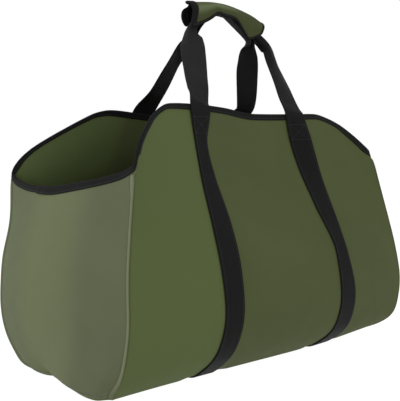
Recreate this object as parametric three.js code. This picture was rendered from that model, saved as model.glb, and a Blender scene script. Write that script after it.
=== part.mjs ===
// A canvas log carrier: a soft open bag with closed ends, webbing straps that go on as two handles,
// and a cloth wrap that gathers the handles into one grip.
// Millimetres, +Z up. X runs along the bag, the front faces -Y, and the floor is z = 0.
import * as THREE from 'three';

// Thicknesses and gaps
const CLOTH = 1.8;
const TAPE = 0.9;
const WEBBING = 2.0;
const SEAM_GAP = 1.4;
const TAPE_GAP = 1.2;
const STRAP_GAP = 1.0;
const STRAP_OVER_TAPE = 1.5;
const STRAP_RAMP_START = 3;
const STRAP_RAMP = 14;
const GRIP_TAPE_GAP = 0.5;

// Widths
const END_TAPE_DROP = 10.5;
const FACE_TAPE_DROP = 8.5;
const GRIP_TAPE_DROP = 6.5;
const STRAP_WIDTH = 38;

// The base cloth rides on the webbing that passes under it.
const BASE_LIFT = WEBBING + STRAP_GAP;

// The bag's outer face, a row for each level: height above the base, how far the left and the right end
// stand from the middle, and the half depth at the left end in front and behind, at mid length in front and
// behind, and at the right end (end).
const LEVELS = [
  { height: 0, left: 299, right: 270, leftFront: 0, leftBack: 0, front: 0, back: 0, end: 0 },
  { height: 0, left: 299, right: 270, leftFront: 137, leftBack: 94, front: 126, back: 126, end: 86 },
  { height: 12, left: 308, right: 279, leftFront: 155, leftBack: 107, front: 152, back: 152, end: 133 },
  { height: 45, left: 308, right: 285, leftFront: 179, leftBack: 148, front: 190, back: 190, end: 178 },
  { height: 100, left: 304, right: 292, leftFront: 187, leftBack: 172, front: 208, back: 208, end: 184 },
  { height: 160, left: 299, right: 282, leftFront: 180, leftBack: 173, front: 196, back: 194, end: 181 },
  { height: 230, left: 286, right: 260, leftFront: 171, leftBack: 164, front: 168, back: 161, end: 173 },
  { height: 310, left: 281, right: 238, leftFront: 176, leftBack: 167, front: 130, back: 107, end: 164 },
  { height: 410, left: 234, right: 231, leftFront: 125, leftBack: 117, front: 108, back: 62, end: 106 },
];
const BASE_EDGE_ROW = 1;
const RIM_FOLLOW_ROW = 6.2;
const END_FOLLOW_ROW = 5.6;
const BELLY_POWER = 2.5;
const FOOT_POWER = 6;

// The rim, per end: height of the flap's shoulder, sag across the end and the share of the end it spans. For
// the front and the back: height of the corner, the share of the half length over which the flap rises, and
// how much of that rise is an S curve rather than a quarter wave.
const RIM = {
  left: {
    shoulder: 400,
    sag: 26,
    span: 1,
    front: { corner: 314, rise: 0.2, ogee: 0.5 },
    back: { corner: 301, rise: 0.3, ogee: 0 },
  },
  right: {
    shoulder: 394,
    sag: 20,
    span: 0.88,
    front: { corner: 330, rise: 0.32, ogee: 0.35 },
    back: { corner: 330, rise: 0.32, ogee: 0.35 },
  },
};
const CORNER_LEVEL = 0.02;
const RIM_DIP = 9;
const RIM_DIP_REACH = 0.62;

// The ends swell outward up to a height, and folds push their foot in or out: place across the end (-1 front,
// 1 back), spread, push at the floor, and the height at which the fold dies out.
const END_BULGE = { left: { out: 34, top: 304 }, right: { out: 48.7, top: 331 } };
const END_BULGE_POWER = 0.65;
const FOLDS = {
  left: [
    { across: -0.68, spread: 0.75, push: 19, reach: 95 },
    { across: 0.12, spread: 0.18, push: -7, reach: 34 },
    { across: 0.5, spread: 0.4, push: 4, reach: 70 },
  ],
  right: [{ across: -0.1, spread: 0.6, push: 10, reach: 90 }],
};
const FOLD_FADE = 10;

// Strap places along the bag at the base, and in front and behind at a height of 400. On the front each
// strap's edge towards the middle tucks under where the cloth bends, which narrows what shows of it.
const STRAPS = {
  left: { foot: -137, frontTop: -116, backTop: -82 },
  right: { foot: 127, frontTop: 93, backTop: 147 },
};
const STRAP_TOP_HEIGHT = 400;
const STRAP_TUCKS = {
  left: [
    { height: 0, tuck: 4 },
    { height: 100, tuck: 4 },
    { height: 200, tuck: 1.5 },
    { height: 290, tuck: 9.5 },
    { height: 345, tuck: 15.5 },
    { height: 390, tuck: 0 },
  ],
  right: [
    { height: 0, tuck: 0 },
    { height: 110, tuck: 1 },
    { height: 176, tuck: 11 },
    { height: 235, tuck: 0 },
  ],
};

// The handles from the left rim to the right rim: the webbing's centre line, its width and thickness, which
// close up where it bunches inside the grip, and how far its face is turned about the vertical.
const HANDLES = {
  front: [
    { x: -98, y: -88, z: 433, width: 38, thick: 2.0, turn: -16 },
    { x: -79, y: -62, z: 465, width: 38, thick: 2.0, turn: -24 },
    { x: -64, y: -40, z: 497, width: 37.5, thick: 2.0, turn: -34 },
    { x: -55, y: -29, z: 513, width: 33, thick: 2.4, turn: -30 },
    { x: -47, y: -20.5, z: 534, width: 16, thick: 4.2, turn: -14 },
    { x: -28, y: -15.6, z: 552, width: 14, thick: 4.8, turn: 0 },
    { x: -6, y: -15.2, z: 564, width: 13, thick: 5.0, turn: 0 },
    { x: 20, y: -15.2, z: 571, width: 13, thick: 5.0, turn: 0 },
    { x: 60, y: -15.2, z: 562, width: 13, thick: 5.0, turn: 0 },
    { x: 84, y: -15.4, z: 549, width: 14, thick: 4.8, turn: 0 },
    { x: 109, y: -21, z: 531, width: 19, thick: 3.8, turn: 2 },
    { x: 124, y: -31, z: 514, width: 31, thick: 2.4, turn: 14 },
    { x: 116.6, y: -52, z: 476, width: 37, thick: 2.0, turn: 3 },
    { x: 105, y: -80, z: 437.5, width: 38, thick: 2.0, turn: -3 },
  ],
  back: [
    { x: -71, y: 47.5, z: 432, width: 38, thick: 2.0, turn: -17 },
    { x: -61.5, y: 36, z: 457, width: 38, thick: 2.0, turn: -20 },
    { x: -52, y: 22, z: 487, width: 37, thick: 2.0, turn: -22 },
    { x: -43.6, y: 8, z: 515, width: 28, thick: 2.4, turn: -11 },
    { x: -38, y: -6, z: 534, width: 16, thick: 4.2, turn: 0 },
    { x: -22, y: -8.8, z: 551, width: 14, thick: 4.8, turn: 0 },
    { x: -6, y: -8.8, z: 563, width: 13, thick: 5.0, turn: 0 },
    { x: 20, y: -8.8, z: 571, width: 13, thick: 5.0, turn: 0 },
    { x: 53, y: -8.8, z: 557, width: 13, thick: 5.0, turn: 0 },
    { x: 86, y: -8.4, z: 536, width: 14, thick: 4.8, turn: 6 },
    { x: 98, y: -2, z: 524, width: 16, thick: 4.2, turn: 30 },
    { x: 101, y: 4, z: 509, width: 31, thick: 2.4, turn: 35 },
    { x: 118, y: 23, z: 475.5, width: 38, thick: 2.0, turn: 35 },
    { x: 145, y: 52, z: 423.5, width: 38, thick: 2.0, turn: 24 },
  ],
};
const HANDLE_STEPS = 3;

// The webbing climbs this far past the rim before it turns inward.
const RIM_CLEARANCE = 8;

// The grip wrap along its arch: axis place and height, half width, and how far the near and the far flap hang
// below the axis.
const GRIP_Y = -12;
const GRIP = [
  { x: -50, z: 562.5, half: 16.5, near: 26, far: 20 },
  { x: -24, z: 567, half: 15, near: 18.5, far: 13 },
  { x: -8, z: 570, half: 14, near: 12.5, far: 8 },
  { x: 8, z: 571.7, half: 13.2, near: 6.5, far: 5 },
  { x: 24, z: 572, half: 12.8, near: 10, far: 4 },
  { x: 42, z: 570.3, half: 12.6, near: 9.5, far: 4 },
  { x: 53, z: 568.3, half: 12.6, near: 12, far: 4 },
  { x: 64, z: 566, half: 12.9, near: 20, far: 6 },
  { x: 86, z: 559.5, half: 13.8, near: 34, far: 12 },
  { x: 98, z: 554.3, half: 14.4, near: 25, far: 13 },
  { x: 111, z: 547.5, half: 15, near: 14, far: 9 },
];

const ENDS = { left: -1, right: 1 };
const OLIVE = 0x545e3c;
const OLIVE_END = 0x6b7157;
const OLIVE_GRIP = 0x4a5138;
const BLACK = 0x232323;

const vector = (x, y, z) => new THREE.Vector3(x, y, z);
const mix = (a, b, k) => a + (b - a) * k;
const clamp01 = (k) => Math.min(1, Math.max(0, k));
const smooth = (k) => k * k * (3 - 2 * k);
const endName = (along) => (along < 0 ? 'left' : 'right');

// Monotone cubic through a column of a table, against the row number.
function column(table, key) {
  const value = table.map((row) => row[key]);
  const step = value.slice(1).map((v, i) => v - value[i]);
  const slope = value.map((_, i) => {
    if (i === 0) return step[0];
    if (i === step.length) return step[i - 1];
    if (step[i - 1] * step[i] <= 0) return 0;
    return (2 * step[i - 1] * step[i]) / (step[i - 1] + step[i]);
  });
  return (row) => {
    const i = Math.min(step.length - 1, Math.max(0, Math.floor(row)));
    const k = row - i;
    const bend = slope[i] * k * (1 - k) * (1 - k) - slope[i + 1] * k * k * (1 - k);
    return value[i] + step[i] * smooth(k) + bend;
  };
}

// Lookup of a table's key against a rising column, eased from row to row.
function lookup(table, against, key, at) {
  const next = table.findIndex((row) => row[against] >= at);
  if (next === 0) return table[0][key];
  if (next < 0) return table[table.length - 1][key];
  const low = table[next - 1];
  const high = table[next];
  return mix(low[key], high[key], smooth((at - low[against]) / (high[against] - low[against])));
}

const HALVINGS = 40;
const level = {};
for (const key of Object.keys(LEVELS[0])) level[key] = column(LEVELS, key);

// Row number at which a rising function of the row reaches a value.
function rowWhere(rising, value) {
  let low = BASE_EDGE_ROW;
  let high = LEVELS.length - 1;
  for (let i = 0; i < HALVINGS; i += 1) {
    const middle = (low + high) / 2;
    if (rising(middle) < value) low = middle;
    else high = middle;
  }
  return (low + high) / 2;
}

// Outward push of the end's foot by its folds.
function foldPush(end, across, height) {
  return FOLDS[end].reduce((sum, fold) => {
    const side = clamp01(1 - ((across - fold.across) / fold.spread) ** 2);
    const edge = clamp01((1 - Math.abs(across)) * FOLD_FADE);
    return sum + fold.push * side * side * edge * (1 - smooth(clamp01(height / fold.reach)));
  }, 0);
}

// Point of the main panel's outer face: along -1 to 1, row of LEVELS, side -1 front or 1 back.
function panelPoint(along, row, side) {
  const end = endName(along);
  const crown = 1 - Math.abs(along) ** BELLY_POWER;
  const face = side < 0 ? 'front' : 'back';
  const endDepth = end === 'right' ? level.end : level[side < 0 ? 'leftFront' : 'leftBack'];
  const depth = mix(endDepth(row), level[face](row), crown);
  const across = side * Math.min(row, BASE_EDGE_ROW);
  const foot = foldPush(end, across, level.height(row)) * Math.abs(along) ** FOOT_POWER;
  return vector(along * (level[end](row) + foot), side * depth, BASE_LIFT + level.height(row));
}

// Small step along a parameter, for slopes
const NUDGE = 1e-3;

function panelNormal(along, row, side) {
  const a = Math.max(-1, along - NUDGE);
  const b = Math.min(1, along + NUDGE);
  const byAlong = panelPoint(b, row, side).sub(panelPoint(a, row, side));
  const low = Math.max(0, row - NUDGE);
  const byRow = panelPoint(along, row + NUDGE, side).sub(panelPoint(along, low, side));
  return byAlong.cross(byRow).multiplyScalar(-side).normalize();
}

function panelOffset(along, row, side, out) {
  return panelPoint(along, row, side).addScaledVector(panelNormal(along, row, side), out);
}

function rimHeight(along, side) {
  const rim = RIM[endName(along)][side < 0 ? 'front' : 'back'];
  const rise = clamp01((1 - Math.abs(along) - CORNER_LEVEL) / rim.rise);
  const shape = mix(Math.sin((rise * Math.PI) / 2), smooth(rise), rim.ogee);
  const shoulder = mix(RIM.left.shoulder, RIM.right.shoulder, smooth((along + 1) / 2));
  const dip = RIM_DIP * Math.max(0, 1 - (along / RIM_DIP_REACH) ** 2);
  return mix(rim.corner, shoulder, shape) - dip;
}

const rimRow = (along, side) => rowWhere(level.height, rimHeight(along, side));

// Rows shared by the panel and what lies on it: fixed levels first, then levels that follow the rim.
const BASE_ROWS = [0, 0.12, 0.28, 0.5, 0.7, 0.9];
const FIXED_ROWS = [1, 1.3, 1.65, 2, 2.5, 3, 3.5, 4, 4.5, 5, END_FOLLOW_ROW, RIM_FOLLOW_ROW];
const RIM_STEPS = [0.25, 0.5, 0.75, 0.9, 1];

function panelRows(along, side) {
  const top = rimRow(along, side);
  const follow = RIM_STEPS.map((k) => mix(RIM_FOLLOW_ROW, top, k));
  return [...BASE_ROWS, ...FIXED_ROWS, ...follow];
}

// Places along the bag, close together at the ends where the rim sweeps up.
const HALF_COLUMNS = [0, 0.11, 0.22, 0.34, 0.46, 0.56, 0.65, 0.72, 0.775, 0.82, 0.86, 0.9, 0.94, 0.98, 1];
const COLUMNS = [...HALF_COLUMNS.slice(1).map((a) => -a).reverse(), ...HALF_COLUMNS];
const ACROSS = [-1, -0.92, -0.82, -0.7, -0.56, -0.42, -0.26, -0.1, 0.1, 0.26, 0.42, 0.56, 0.7, 0.82, 0.92, 1];

// A closed geometry from points and triangles, turned so that its faces point out.
function closedGeometry(points, triangles) {
  let volume = 0;
  for (const [a, b, c] of triangles) {
    volume += points[a].dot(points[b].clone().cross(points[c]));
  }
  const facing = volume < 0 ? triangles.map(([a, b, c]) => [a, c, b]) : triangles;
  const geometry = new THREE.BufferGeometry();
  geometry.setFromPoints(points);
  geometry.setIndex(facing.flat());
  geometry.computeVertexNormals();
  return geometry;
}

// A sheet with thickness: two grids of points of the same size, joined round their edges.
function sheetGeometry(outer, inner) {
  const rows = outer.length;
  const columns = outer[0].length;
  const points = [...outer.flat(), ...inner.flat()];
  const half = rows * columns;
  const at = (i, j) => i * columns + j;
  const triangles = [];
  const quad = (a, b, c, d) => triangles.push([a, b, c], [a, c, d]);
  for (let i = 0; i + 1 < rows; i += 1) {
    for (let j = 0; j + 1 < columns; j += 1) {
      const [a, b, c, d] = [at(i, j), at(i, j + 1), at(i + 1, j + 1), at(i + 1, j)];
      quad(a, b, c, d);
      triangles.push([half + a, half + c, half + b], [half + a, half + d, half + c]);
    }
  }
  const loop = [];
  for (let j = 0; j < columns - 1; j += 1) loop.push(at(0, j));
  for (let i = 0; i < rows - 1; i += 1) loop.push(at(i, columns - 1));
  for (let j = columns - 1; j > 0; j -= 1) loop.push(at(rows - 1, j));
  for (let i = rows - 1; i > 0; i -= 1) loop.push(at(i, 0));
  loop.forEach((a, k) => {
    const b = loop[(k + 1) % loop.length];
    quad(b, a, half + a, half + b);
  });
  return closedGeometry(points, triangles);
}

// A band through sections of the same number of corners, closed into a ring or capped at both ends.
function bandGeometry(sections, ring) {
  const corners = sections[0].length;
  const points = sections.flat();
  const triangles = [];
  const count = ring ? sections.length : sections.length - 1;
  for (let i = 0; i < count; i += 1) {
    const here = i * corners;
    const there = ((i + 1) % sections.length) * corners;
    for (let j = 0; j < corners; j += 1) {
      const k = (j + 1) % corners;
      triangles.push([here + j, there + j, there + k], [here + j, there + k, here + k]);
    }
  }
  if (!ring) {
    const last = (sections.length - 1) * corners;
    for (let j = 1; j + 1 < corners; j += 1) {
      triangles.push([0, j, j + 1], [last, last + j + 1, last + j]);
    }
  }
  return closedGeometry(points, triangles);
}

// Main panel: front rim, down, under the bag, and up to the back rim.
function mainPanel() {
  const lines = COLUMNS.map((along) => {
    const front = panelRows(along, -1).slice(1).reverse().map((row) => [row, -1]);
    const back = panelRows(along, 1).map((row) => [row, 1]);
    return [...front, ...back].map(([row, side]) => ({ along, row, side }));
  });
  const face = (out) => lines.map((line) => line.map((p) => panelOffset(p.along, p.row, p.side, out)));
  return sheetGeometry(face(0), face(-CLOTH));
}

// Where the end panel's edge meets the main panel's inner face, a given distance in from the end.
function seamPoint(end, row, inward, side) {
  const along = ENDS[end] * (1 - inward / level[end](row));
  return panelOffset(along, row, side, -CLOTH - SEAM_GAP);
}

function endRimHeight(end, across) {
  const { front, back, sag, span } = RIM[end];
  const corner = mix(front.corner, back.corner, (across + 1) / 2);
  return BASE_LIFT + corner - sag * clamp01(1 - (across / span) ** 2);
}

// Point of an end panel: across -1 front to 1 back, row of LEVELS, and distance in from the outer face.
function endPoint(end, across, row, inward) {
  const seam = seamPoint(end, row, inward, Math.sign(across));
  const height = seam.z - BASE_LIFT;
  const swell = Math.sin(Math.PI * clamp01(height / END_BULGE[end].top)) ** END_BULGE_POWER;
  const out = END_BULGE[end].out * (1 - across ** 2) * swell + foldPush(end, across, height);
  return vector(ENDS[end] * (level[end](row) + out - inward), across * Math.abs(seam.y), seam.z);
}

function endRimRow(end, across) {
  const top = endRimHeight(end, across);
  return rowWhere((row) => seamPoint(end, row, 0, Math.sign(across)).z, top);
}

function endRows(end, across) {
  const top = endRimRow(end, across);
  const follow = RIM_STEPS.map((k) => mix(END_FOLLOW_ROW, top, k));
  return [...FIXED_ROWS.filter((row) => row <= END_FOLLOW_ROW), ...follow];
}

function endPanel(end) {
  const face = (inward) => ACROSS.map((across) => {
    return endRows(end, across).map((row) => endPoint(end, across, row, inward));
  });
  return sheetGeometry(face(0), face(CLOTH));
}

// Section of a tape folded over a cloth edge, from the edge point and a point further in on the cloth, each
// with its outward normal, and the direction that leaves the cloth at the edge.
function tapeSection({ edge, edgeNormal, low, lowNormal, leave }, gap) {
  const corner = (point, normal, out, past) => {
    return point.clone().addScaledVector(normal, out).addScaledVector(leave, past);
  };
  const near = gap;
  const far = gap + TAPE;
  return [
    corner(low, lowNormal, far, 0),
    corner(edge, edgeNormal, far, far),
    corner(edge, edgeNormal, -CLOTH - far, far),
    corner(low, lowNormal, -CLOTH - far, 0),
    corner(low, lowNormal, -CLOTH - near, 0),
    corner(edge, edgeNormal, -CLOTH - near, near),
    corner(edge, edgeNormal, near, near),
    corner(low, lowNormal, near, 0),
  ];
}

// Longer step along a parameter, for the run of an edge
const STRIDE = 0.004;

// Where a face of the main panel is cut by the rim, with the tape's lower line square to the rim.
function panelTape(along, side) {
  const row = rimRow(along, side);
  const edge = panelPoint(along, row, side);
  const edgeNormal = panelNormal(along, row, side);
  const a = along - STRIDE;
  const b = along + STRIDE;
  const runs = panelPoint(b, rimRow(b, side), side).sub(panelPoint(a, rimRow(a, side), side)).normalize();
  const leave = runs.clone().cross(edgeNormal).normalize();
  if (leave.z < 0) leave.negate();
  const byAlong = panelPoint(b, row, side).sub(panelPoint(a, row, side)).divideScalar(2 * STRIDE);
  const byRow = panelPoint(along, row, side).sub(panelPoint(along, row - STRIDE, side));
  byRow.divideScalar(STRIDE);
  const lowRow = row - (FACE_TAPE_DROP * leave.dot(byRow)) / byRow.lengthSq();
  const lowAlong = along - (FACE_TAPE_DROP * leave.dot(byAlong)) / byAlong.lengthSq();
  return {
    edge,
    edgeNormal,
    low: panelPoint(lowAlong, lowRow, side),
    lowNormal: panelNormal(lowAlong, lowRow, side),
    leave,
  };
}

function endTape(end, across) {
  const row = endRimRow(end, across);
  const edge = endPoint(end, across, row, 0);
  const lowRow = rowWhere((r) => seamPoint(end, r, 0, Math.sign(across)).z, edge.z - END_TAPE_DROP);
  const out = vector(ENDS[end], 0, 0);
  const low = endPoint(end, across, lowRow, 0);
  const leave = edge.clone().sub(low).normalize();
  return { edge, edgeNormal: out, low, lowNormal: out, leave };
}

// The tape turns the bag's corner in a mitre that clears both cloth edges.
function cornerTape(end, side) {
  const along = ENDS[end];
  const row = rimRow(along, side);
  const edge = panelPoint(along, row, side);
  const lowRow = rowWhere(level.height, level.height(row) - END_TAPE_DROP);
  const low = panelPoint(along, lowRow, side);
  const mitre = (normal) => {
    const out = vector(along, 0, 0);
    return normal.clone().add(out).divideScalar(1 + normal.dot(out));
  };
  return {
    edge,
    edgeNormal: mitre(panelNormal(along, row, side)),
    low,
    lowNormal: mitre(panelNormal(along, lowRow, side)),
    leave: edge.clone().sub(low).normalize(),
  };
}

function rimBinding() {
  const inner = COLUMNS.slice(1, -1);
  const across = ACROSS.slice(1, -1);
  const ring = [
    cornerTape('left', -1),
    ...inner.map((along) => panelTape(along, -1)),
    cornerTape('right', -1),
    ...across.map((place) => endTape('right', place)),
    cornerTape('right', 1),
    ...[...inner].reverse().map((along) => panelTape(along, 1)),
    cornerTape('left', 1),
    ...[...across].reverse().map((place) => endTape('left', place)),
  ];
  return bandGeometry(ring.map((station) => tapeSection(station, TAPE_GAP)), true);
}

// How far the webbing stands off the cloth: close on the panel, clear of the tape at the rim.
function strapStandOff(row, rim) {
  const below = level.height(rim) - level.height(row);
  const over = 1 - smooth(clamp01((below - FACE_TAPE_DROP - STRAP_RAMP_START) / STRAP_RAMP));
  return mix(STRAP_GAP, TAPE_GAP + TAPE + STRAP_OVER_TAPE, over);
}

// Sections of one strap on one face of the bag, from under the base up to the rim.
function strapLeg(end, side) {
  const top = side < 0 ? STRAPS[end].frontTop : STRAPS[end].backTop;
  const middle = (row) => mix(STRAPS[end].foot, top, level.height(row) / STRAP_TOP_HEIGHT);
  const centre = middle(RIM_FOLLOW_ROW) / level[end](RIM_FOLLOW_ROW);
  const rows = panelRows(centre, side);
  rows[0] = STRAP_GAP / LEVELS[BASE_EDGE_ROW].front;
  const rim = rows[rows.length - 1];
  return rows.map((row) => {
    const height = level.height(row);
    const tuck = side < 0 ? lookup(STRAP_TUCKS[end], 'height', 'tuck', height) : 0;
    const low = -STRAP_WIDTH / 2 + (end === 'right' ? tuck : 0);
    const high = STRAP_WIDTH / 2 - (end === 'left' ? tuck : 0);
    const off = strapStandOff(row, rim);
    const corner = (offset, out) => panelOffset((middle(row) + offset) / level[end](row), row, side, out);
    return [
      corner(high, off + WEBBING),
      corner(low, off + WEBBING),
      corner(low, off),
      corner(high, off),
    ];
  });
}

// Sections of a free handle between the two rim sections of its legs.
function handleSections(name, side, first, last) {
  const table = HANDLES[name];
  const centreOf = (section) => {
    return section.reduce((sum, p) => sum.add(p), vector(0, 0, 0)).divideScalar(section.length);
  };
  const leaving = ([below, rim]) => {
    const edge = centreOf(rim);
    const above = edge.clone().sub(centreOf(below)).setLength(RIM_CLEARANCE).add(edge);
    const out = rim[0].clone().sub(rim[3]);
    const turn = THREE.MathUtils.radToDeg(Math.atan2(out.x, side * out.y));
    const flat = { width: STRAP_WIDTH, thick: WEBBING, turn };
    return [edge, above].map((point) => ({ x: point.x, y: point.y, z: point.z, ...flat }));
  };
  const rows = [...leaving(first), ...table, ...leaving(last).reverse()];
  const knots = rows.map((row) => vector(row.x, row.y, row.z));
  const path = new THREE.CatmullRomCurve3(knots, false, 'centripetal');
  const width = column(rows, 'width');
  const thick = column(rows, 'thick');
  const turn = column(rows, 'turn');
  const spans = rows.length - 1;
  const count = spans * HANDLE_STEPS;
  const sections = [];
  for (let i = 1; i < count; i += 1) {
    const k = i / count;
    const centre = path.getPoint(k);
    const ahead = path.getTangent(k);
    const angle = THREE.MathUtils.degToRad(turn(k * spans));
    const face = vector(Math.sin(angle), side * Math.cos(angle), 0);
    face.addScaledVector(ahead, -face.dot(ahead)).normalize();
    const across = ahead.clone().cross(face).normalize().multiplyScalar(-side);
    const corner = (w, t) => {
      const point = centre.clone().addScaledVector(across, (w * width(k * spans)) / 2);
      return point.addScaledVector(face, (t * thick(k * spans)) / 2);
    };
    sections.push([corner(1, 1), corner(-1, 1), corner(-1, -1), corner(1, -1)]);
  }
  return sections;
}

// One whole strap: up a face on the left, over as a handle, and down the same face on the right.
function strap(name, side) {
  const up = strapLeg('left', side);
  const mirrored = ([a, b, c, d]) => [b, a, d, c];
  const down = strapLeg('right', side).reverse().map(mirrored);
  const handle = handleSections(name, side, up.slice(-2), [down[1], down[0]]);
  return bandGeometry([...up, ...handle, ...down], false);
}

const gripRow = {};
for (const key of Object.keys(GRIP[0])) gripRow[key] = column(GRIP, key);

// Point of the grip wrap: place along the arch 0 to 1, and around it -1 near edge to 1 far edge.
function gripPoint(along, around, out) {
  const row = along * (GRIP.length - 1);
  const at = (key, r = row) => gripRow[key](r);
  const low = Math.max(0, row - STRIDE);
  const high = Math.min(GRIP.length - 1, row + STRIDE);
  const ahead = vector(at('x', high) - at('x', low), 0, at('z', high) - at('z', low)).normalize();
  const up = vector(-ahead.z, 0, ahead.x);
  const arc = (Math.PI / 2) * at('half');
  const reach = Math.abs(around) * (arc + at(around < 0 ? 'near' : 'far'));
  const radius = at('half') + out;
  const hang = Math.max(0, reach - arc);
  const angle = Math.min(reach / at('half'), Math.PI / 2);
  const side = radius * Math.sin(angle);
  const point = vector(at('x'), GRIP_Y + Math.sign(around) * side, at('z'));
  return point.addScaledVector(up, radius * Math.cos(angle) - hang);
}

const GRIP_STEPS = 14;
const GRIP_ALONG = Array.from({ length: GRIP_STEPS + 1 }, (_, i) => i / GRIP_STEPS);
const GRIP_AROUND = GRIP_ALONG.map((k) => 2 * k - 1);

function gripWrap() {
  const face = (out) => GRIP_ALONG.map((a) => GRIP_AROUND.map((b) => gripPoint(a, b, out)));
  return sheetGeometry(face(0), face(-CLOTH));
}

// Tape station on the edge of the grip wrap, with the way in along the arch and around it.
function gripTape(along, around, inAlong, inAround) {
  const edge = gripPoint(along, around, 0);
  const outward = (a, b) => gripPoint(a, b, 1).sub(gripPoint(a, b, 0)).normalize();
  const byAlong = gripPoint(along + STRIDE * (inAlong || 1), around, 0).sub(edge).length() / STRIDE;
  const byAround = gripPoint(along, around + STRIDE * (inAround || 1), 0).sub(edge).length() / STRIDE;
  const lowAlong = along + (inAlong * GRIP_TAPE_DROP) / byAlong;
  const lowAround = around + (inAround * GRIP_TAPE_DROP) / byAround;
  const low = gripPoint(lowAlong, lowAround, 0);
  const corner = inAlong && inAround ? Math.SQRT2 : 1;
  const leave = edge.clone().sub(low).normalize().multiplyScalar(corner);
  return {
    edge,
    edgeNormal: outward(along, around),
    low,
    lowNormal: outward(lowAlong, lowAround),
    leave,
  };
}

function gripBinding() {
  const along = GRIP_ALONG.slice(1, -1);
  const around = GRIP_AROUND.slice(1, -1);
  const ring = [
    gripTape(0, -1, 1, 1),
    ...along.map((a) => gripTape(a, -1, 0, 1)),
    gripTape(1, -1, -1, 1),
    ...around.map((b) => gripTape(1, b, -1, 0)),
    gripTape(1, 1, -1, -1),
    ...[...along].reverse().map((a) => gripTape(a, 1, 0, -1)),
    gripTape(0, 1, 1, -1),
    ...[...around].reverse().map((b) => gripTape(0, b, 1, 0)),
  ];
  return bandGeometry(ring.map((station) => tapeSection(station, GRIP_TAPE_GAP)), true);
}

function piece(name, geometry, color, roughness) {
  const material = new THREE.MeshStandardMaterial({ color, roughness, metalness: 0 });
  const mesh = new THREE.Mesh(geometry, material);
  mesh.name = name;
  return mesh;
}

const carrier = new THREE.Group();
carrier.add(
  piece('main_panel', mainPanel(), OLIVE, 0.8),
  piece('end_panel_left', endPanel('left'), OLIVE_END, 0.8),
  piece('end_panel_right', endPanel('right'), OLIVE_END, 0.8),
  piece('rim_binding', rimBinding(), BLACK, 0.85),
  piece('strap_front', strap('front', -1), BLACK, 0.85),
  piece('strap_back', strap('back', 1), BLACK, 0.85),
  piece('grip_wrap', gripWrap(), OLIVE_GRIP, 0.8),
  piece('grip_binding', gripBinding(), BLACK, 0.85),
);

export default carrier;
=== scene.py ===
"""Canvas log carrier: cloth, tape, webbing, stitching and a plain studio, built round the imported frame."""

import math

import bpy
import numpy as np
from bpy.props import FloatProperty, FloatVectorProperty, PointerProperty
from mathutils import Matrix, Vector


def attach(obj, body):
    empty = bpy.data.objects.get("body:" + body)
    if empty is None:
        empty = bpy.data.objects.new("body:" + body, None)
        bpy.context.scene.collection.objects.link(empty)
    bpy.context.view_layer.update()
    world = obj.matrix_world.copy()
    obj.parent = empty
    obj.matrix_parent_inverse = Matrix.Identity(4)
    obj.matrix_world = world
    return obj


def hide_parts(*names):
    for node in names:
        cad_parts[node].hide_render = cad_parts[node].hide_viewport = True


bl_info = {
    "name": "Canvas log carrier",
    "version": (1, 0, 0),
    "blender": (4, 5, 0),
    "location": "View3D > Sidebar > Carrier",
    "description": "Builds the cloth, tape, webbing and stitching of a canvas log carrier in a plain studio",
    "category": "Add Mesh",
}

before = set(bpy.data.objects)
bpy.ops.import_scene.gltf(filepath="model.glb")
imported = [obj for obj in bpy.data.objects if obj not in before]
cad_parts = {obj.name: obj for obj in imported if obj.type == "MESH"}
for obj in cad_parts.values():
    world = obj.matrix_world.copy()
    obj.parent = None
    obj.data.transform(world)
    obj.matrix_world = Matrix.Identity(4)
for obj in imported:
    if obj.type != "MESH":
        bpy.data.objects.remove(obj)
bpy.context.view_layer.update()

# The tables are in millimetres, and the scene is in metres.
MM = 0.001

# Small gaps and the lift of the base over the webbing that passes under it
SEAM_GAP = 1.4
TAPE_GAP = 0.35
STRAP_GAP = 0.4
STRAP_GAP_UNDER = 1.0
STRAP_OVER_TAPE = 0.5
BASE_LIFT = 3.0

# Between the straps the foot of the cloth sags to the floor: how far, half width that a strap holds up, how
# square that stretch is, and the height at which the sag has died out
BASE_SAG = {"down": 1.9, "clear": 42.0, "square": 8, "height": 60.0}

# The bag's outer face by level: height, reach of the left and right ends, and the half depths
LEVELS = {
    "height": (0, 0, 12, 45, 100, 160, 230, 310, 410),
    "left": (299, 299, 308.5, 308.5, 304.5, 299, 286.5, 281.5, 233.5),
    "right": (270, 270, 279, 285, 291.5, 281.5, 259.5, 237.5, 231),
    "left_front": (0, 137, 155, 179, 187.5, 180.5, 171, 176, 125),
    "left_back": (0, 94, 107, 148.5, 172.5, 173.5, 164.5, 167.5, 117),
    "front": (0, 126, 152, 190, 208, 196, 168, 130, 108),
    "back": (0, 126, 152, 190, 208, 194, 161, 107, 62),
    "right_both": (0, 86, 133, 178.5, 184, 181, 176.5, 168.5, 104),
}
BASE_EDGE_ROW = 1
LAST_LEVEL = len(LEVELS["height"]) - 1

# Rows from which the mesh of the faces and of the ends follows the rim, and the powers by which the belly
# fills and the push of the folds fades along the bag
RIM_FOLLOW_ROW = 6.2
END_FOLLOW_ROW = 5.6
BELLY_POWER = 2.5
FOOT_POWER = 6

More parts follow.
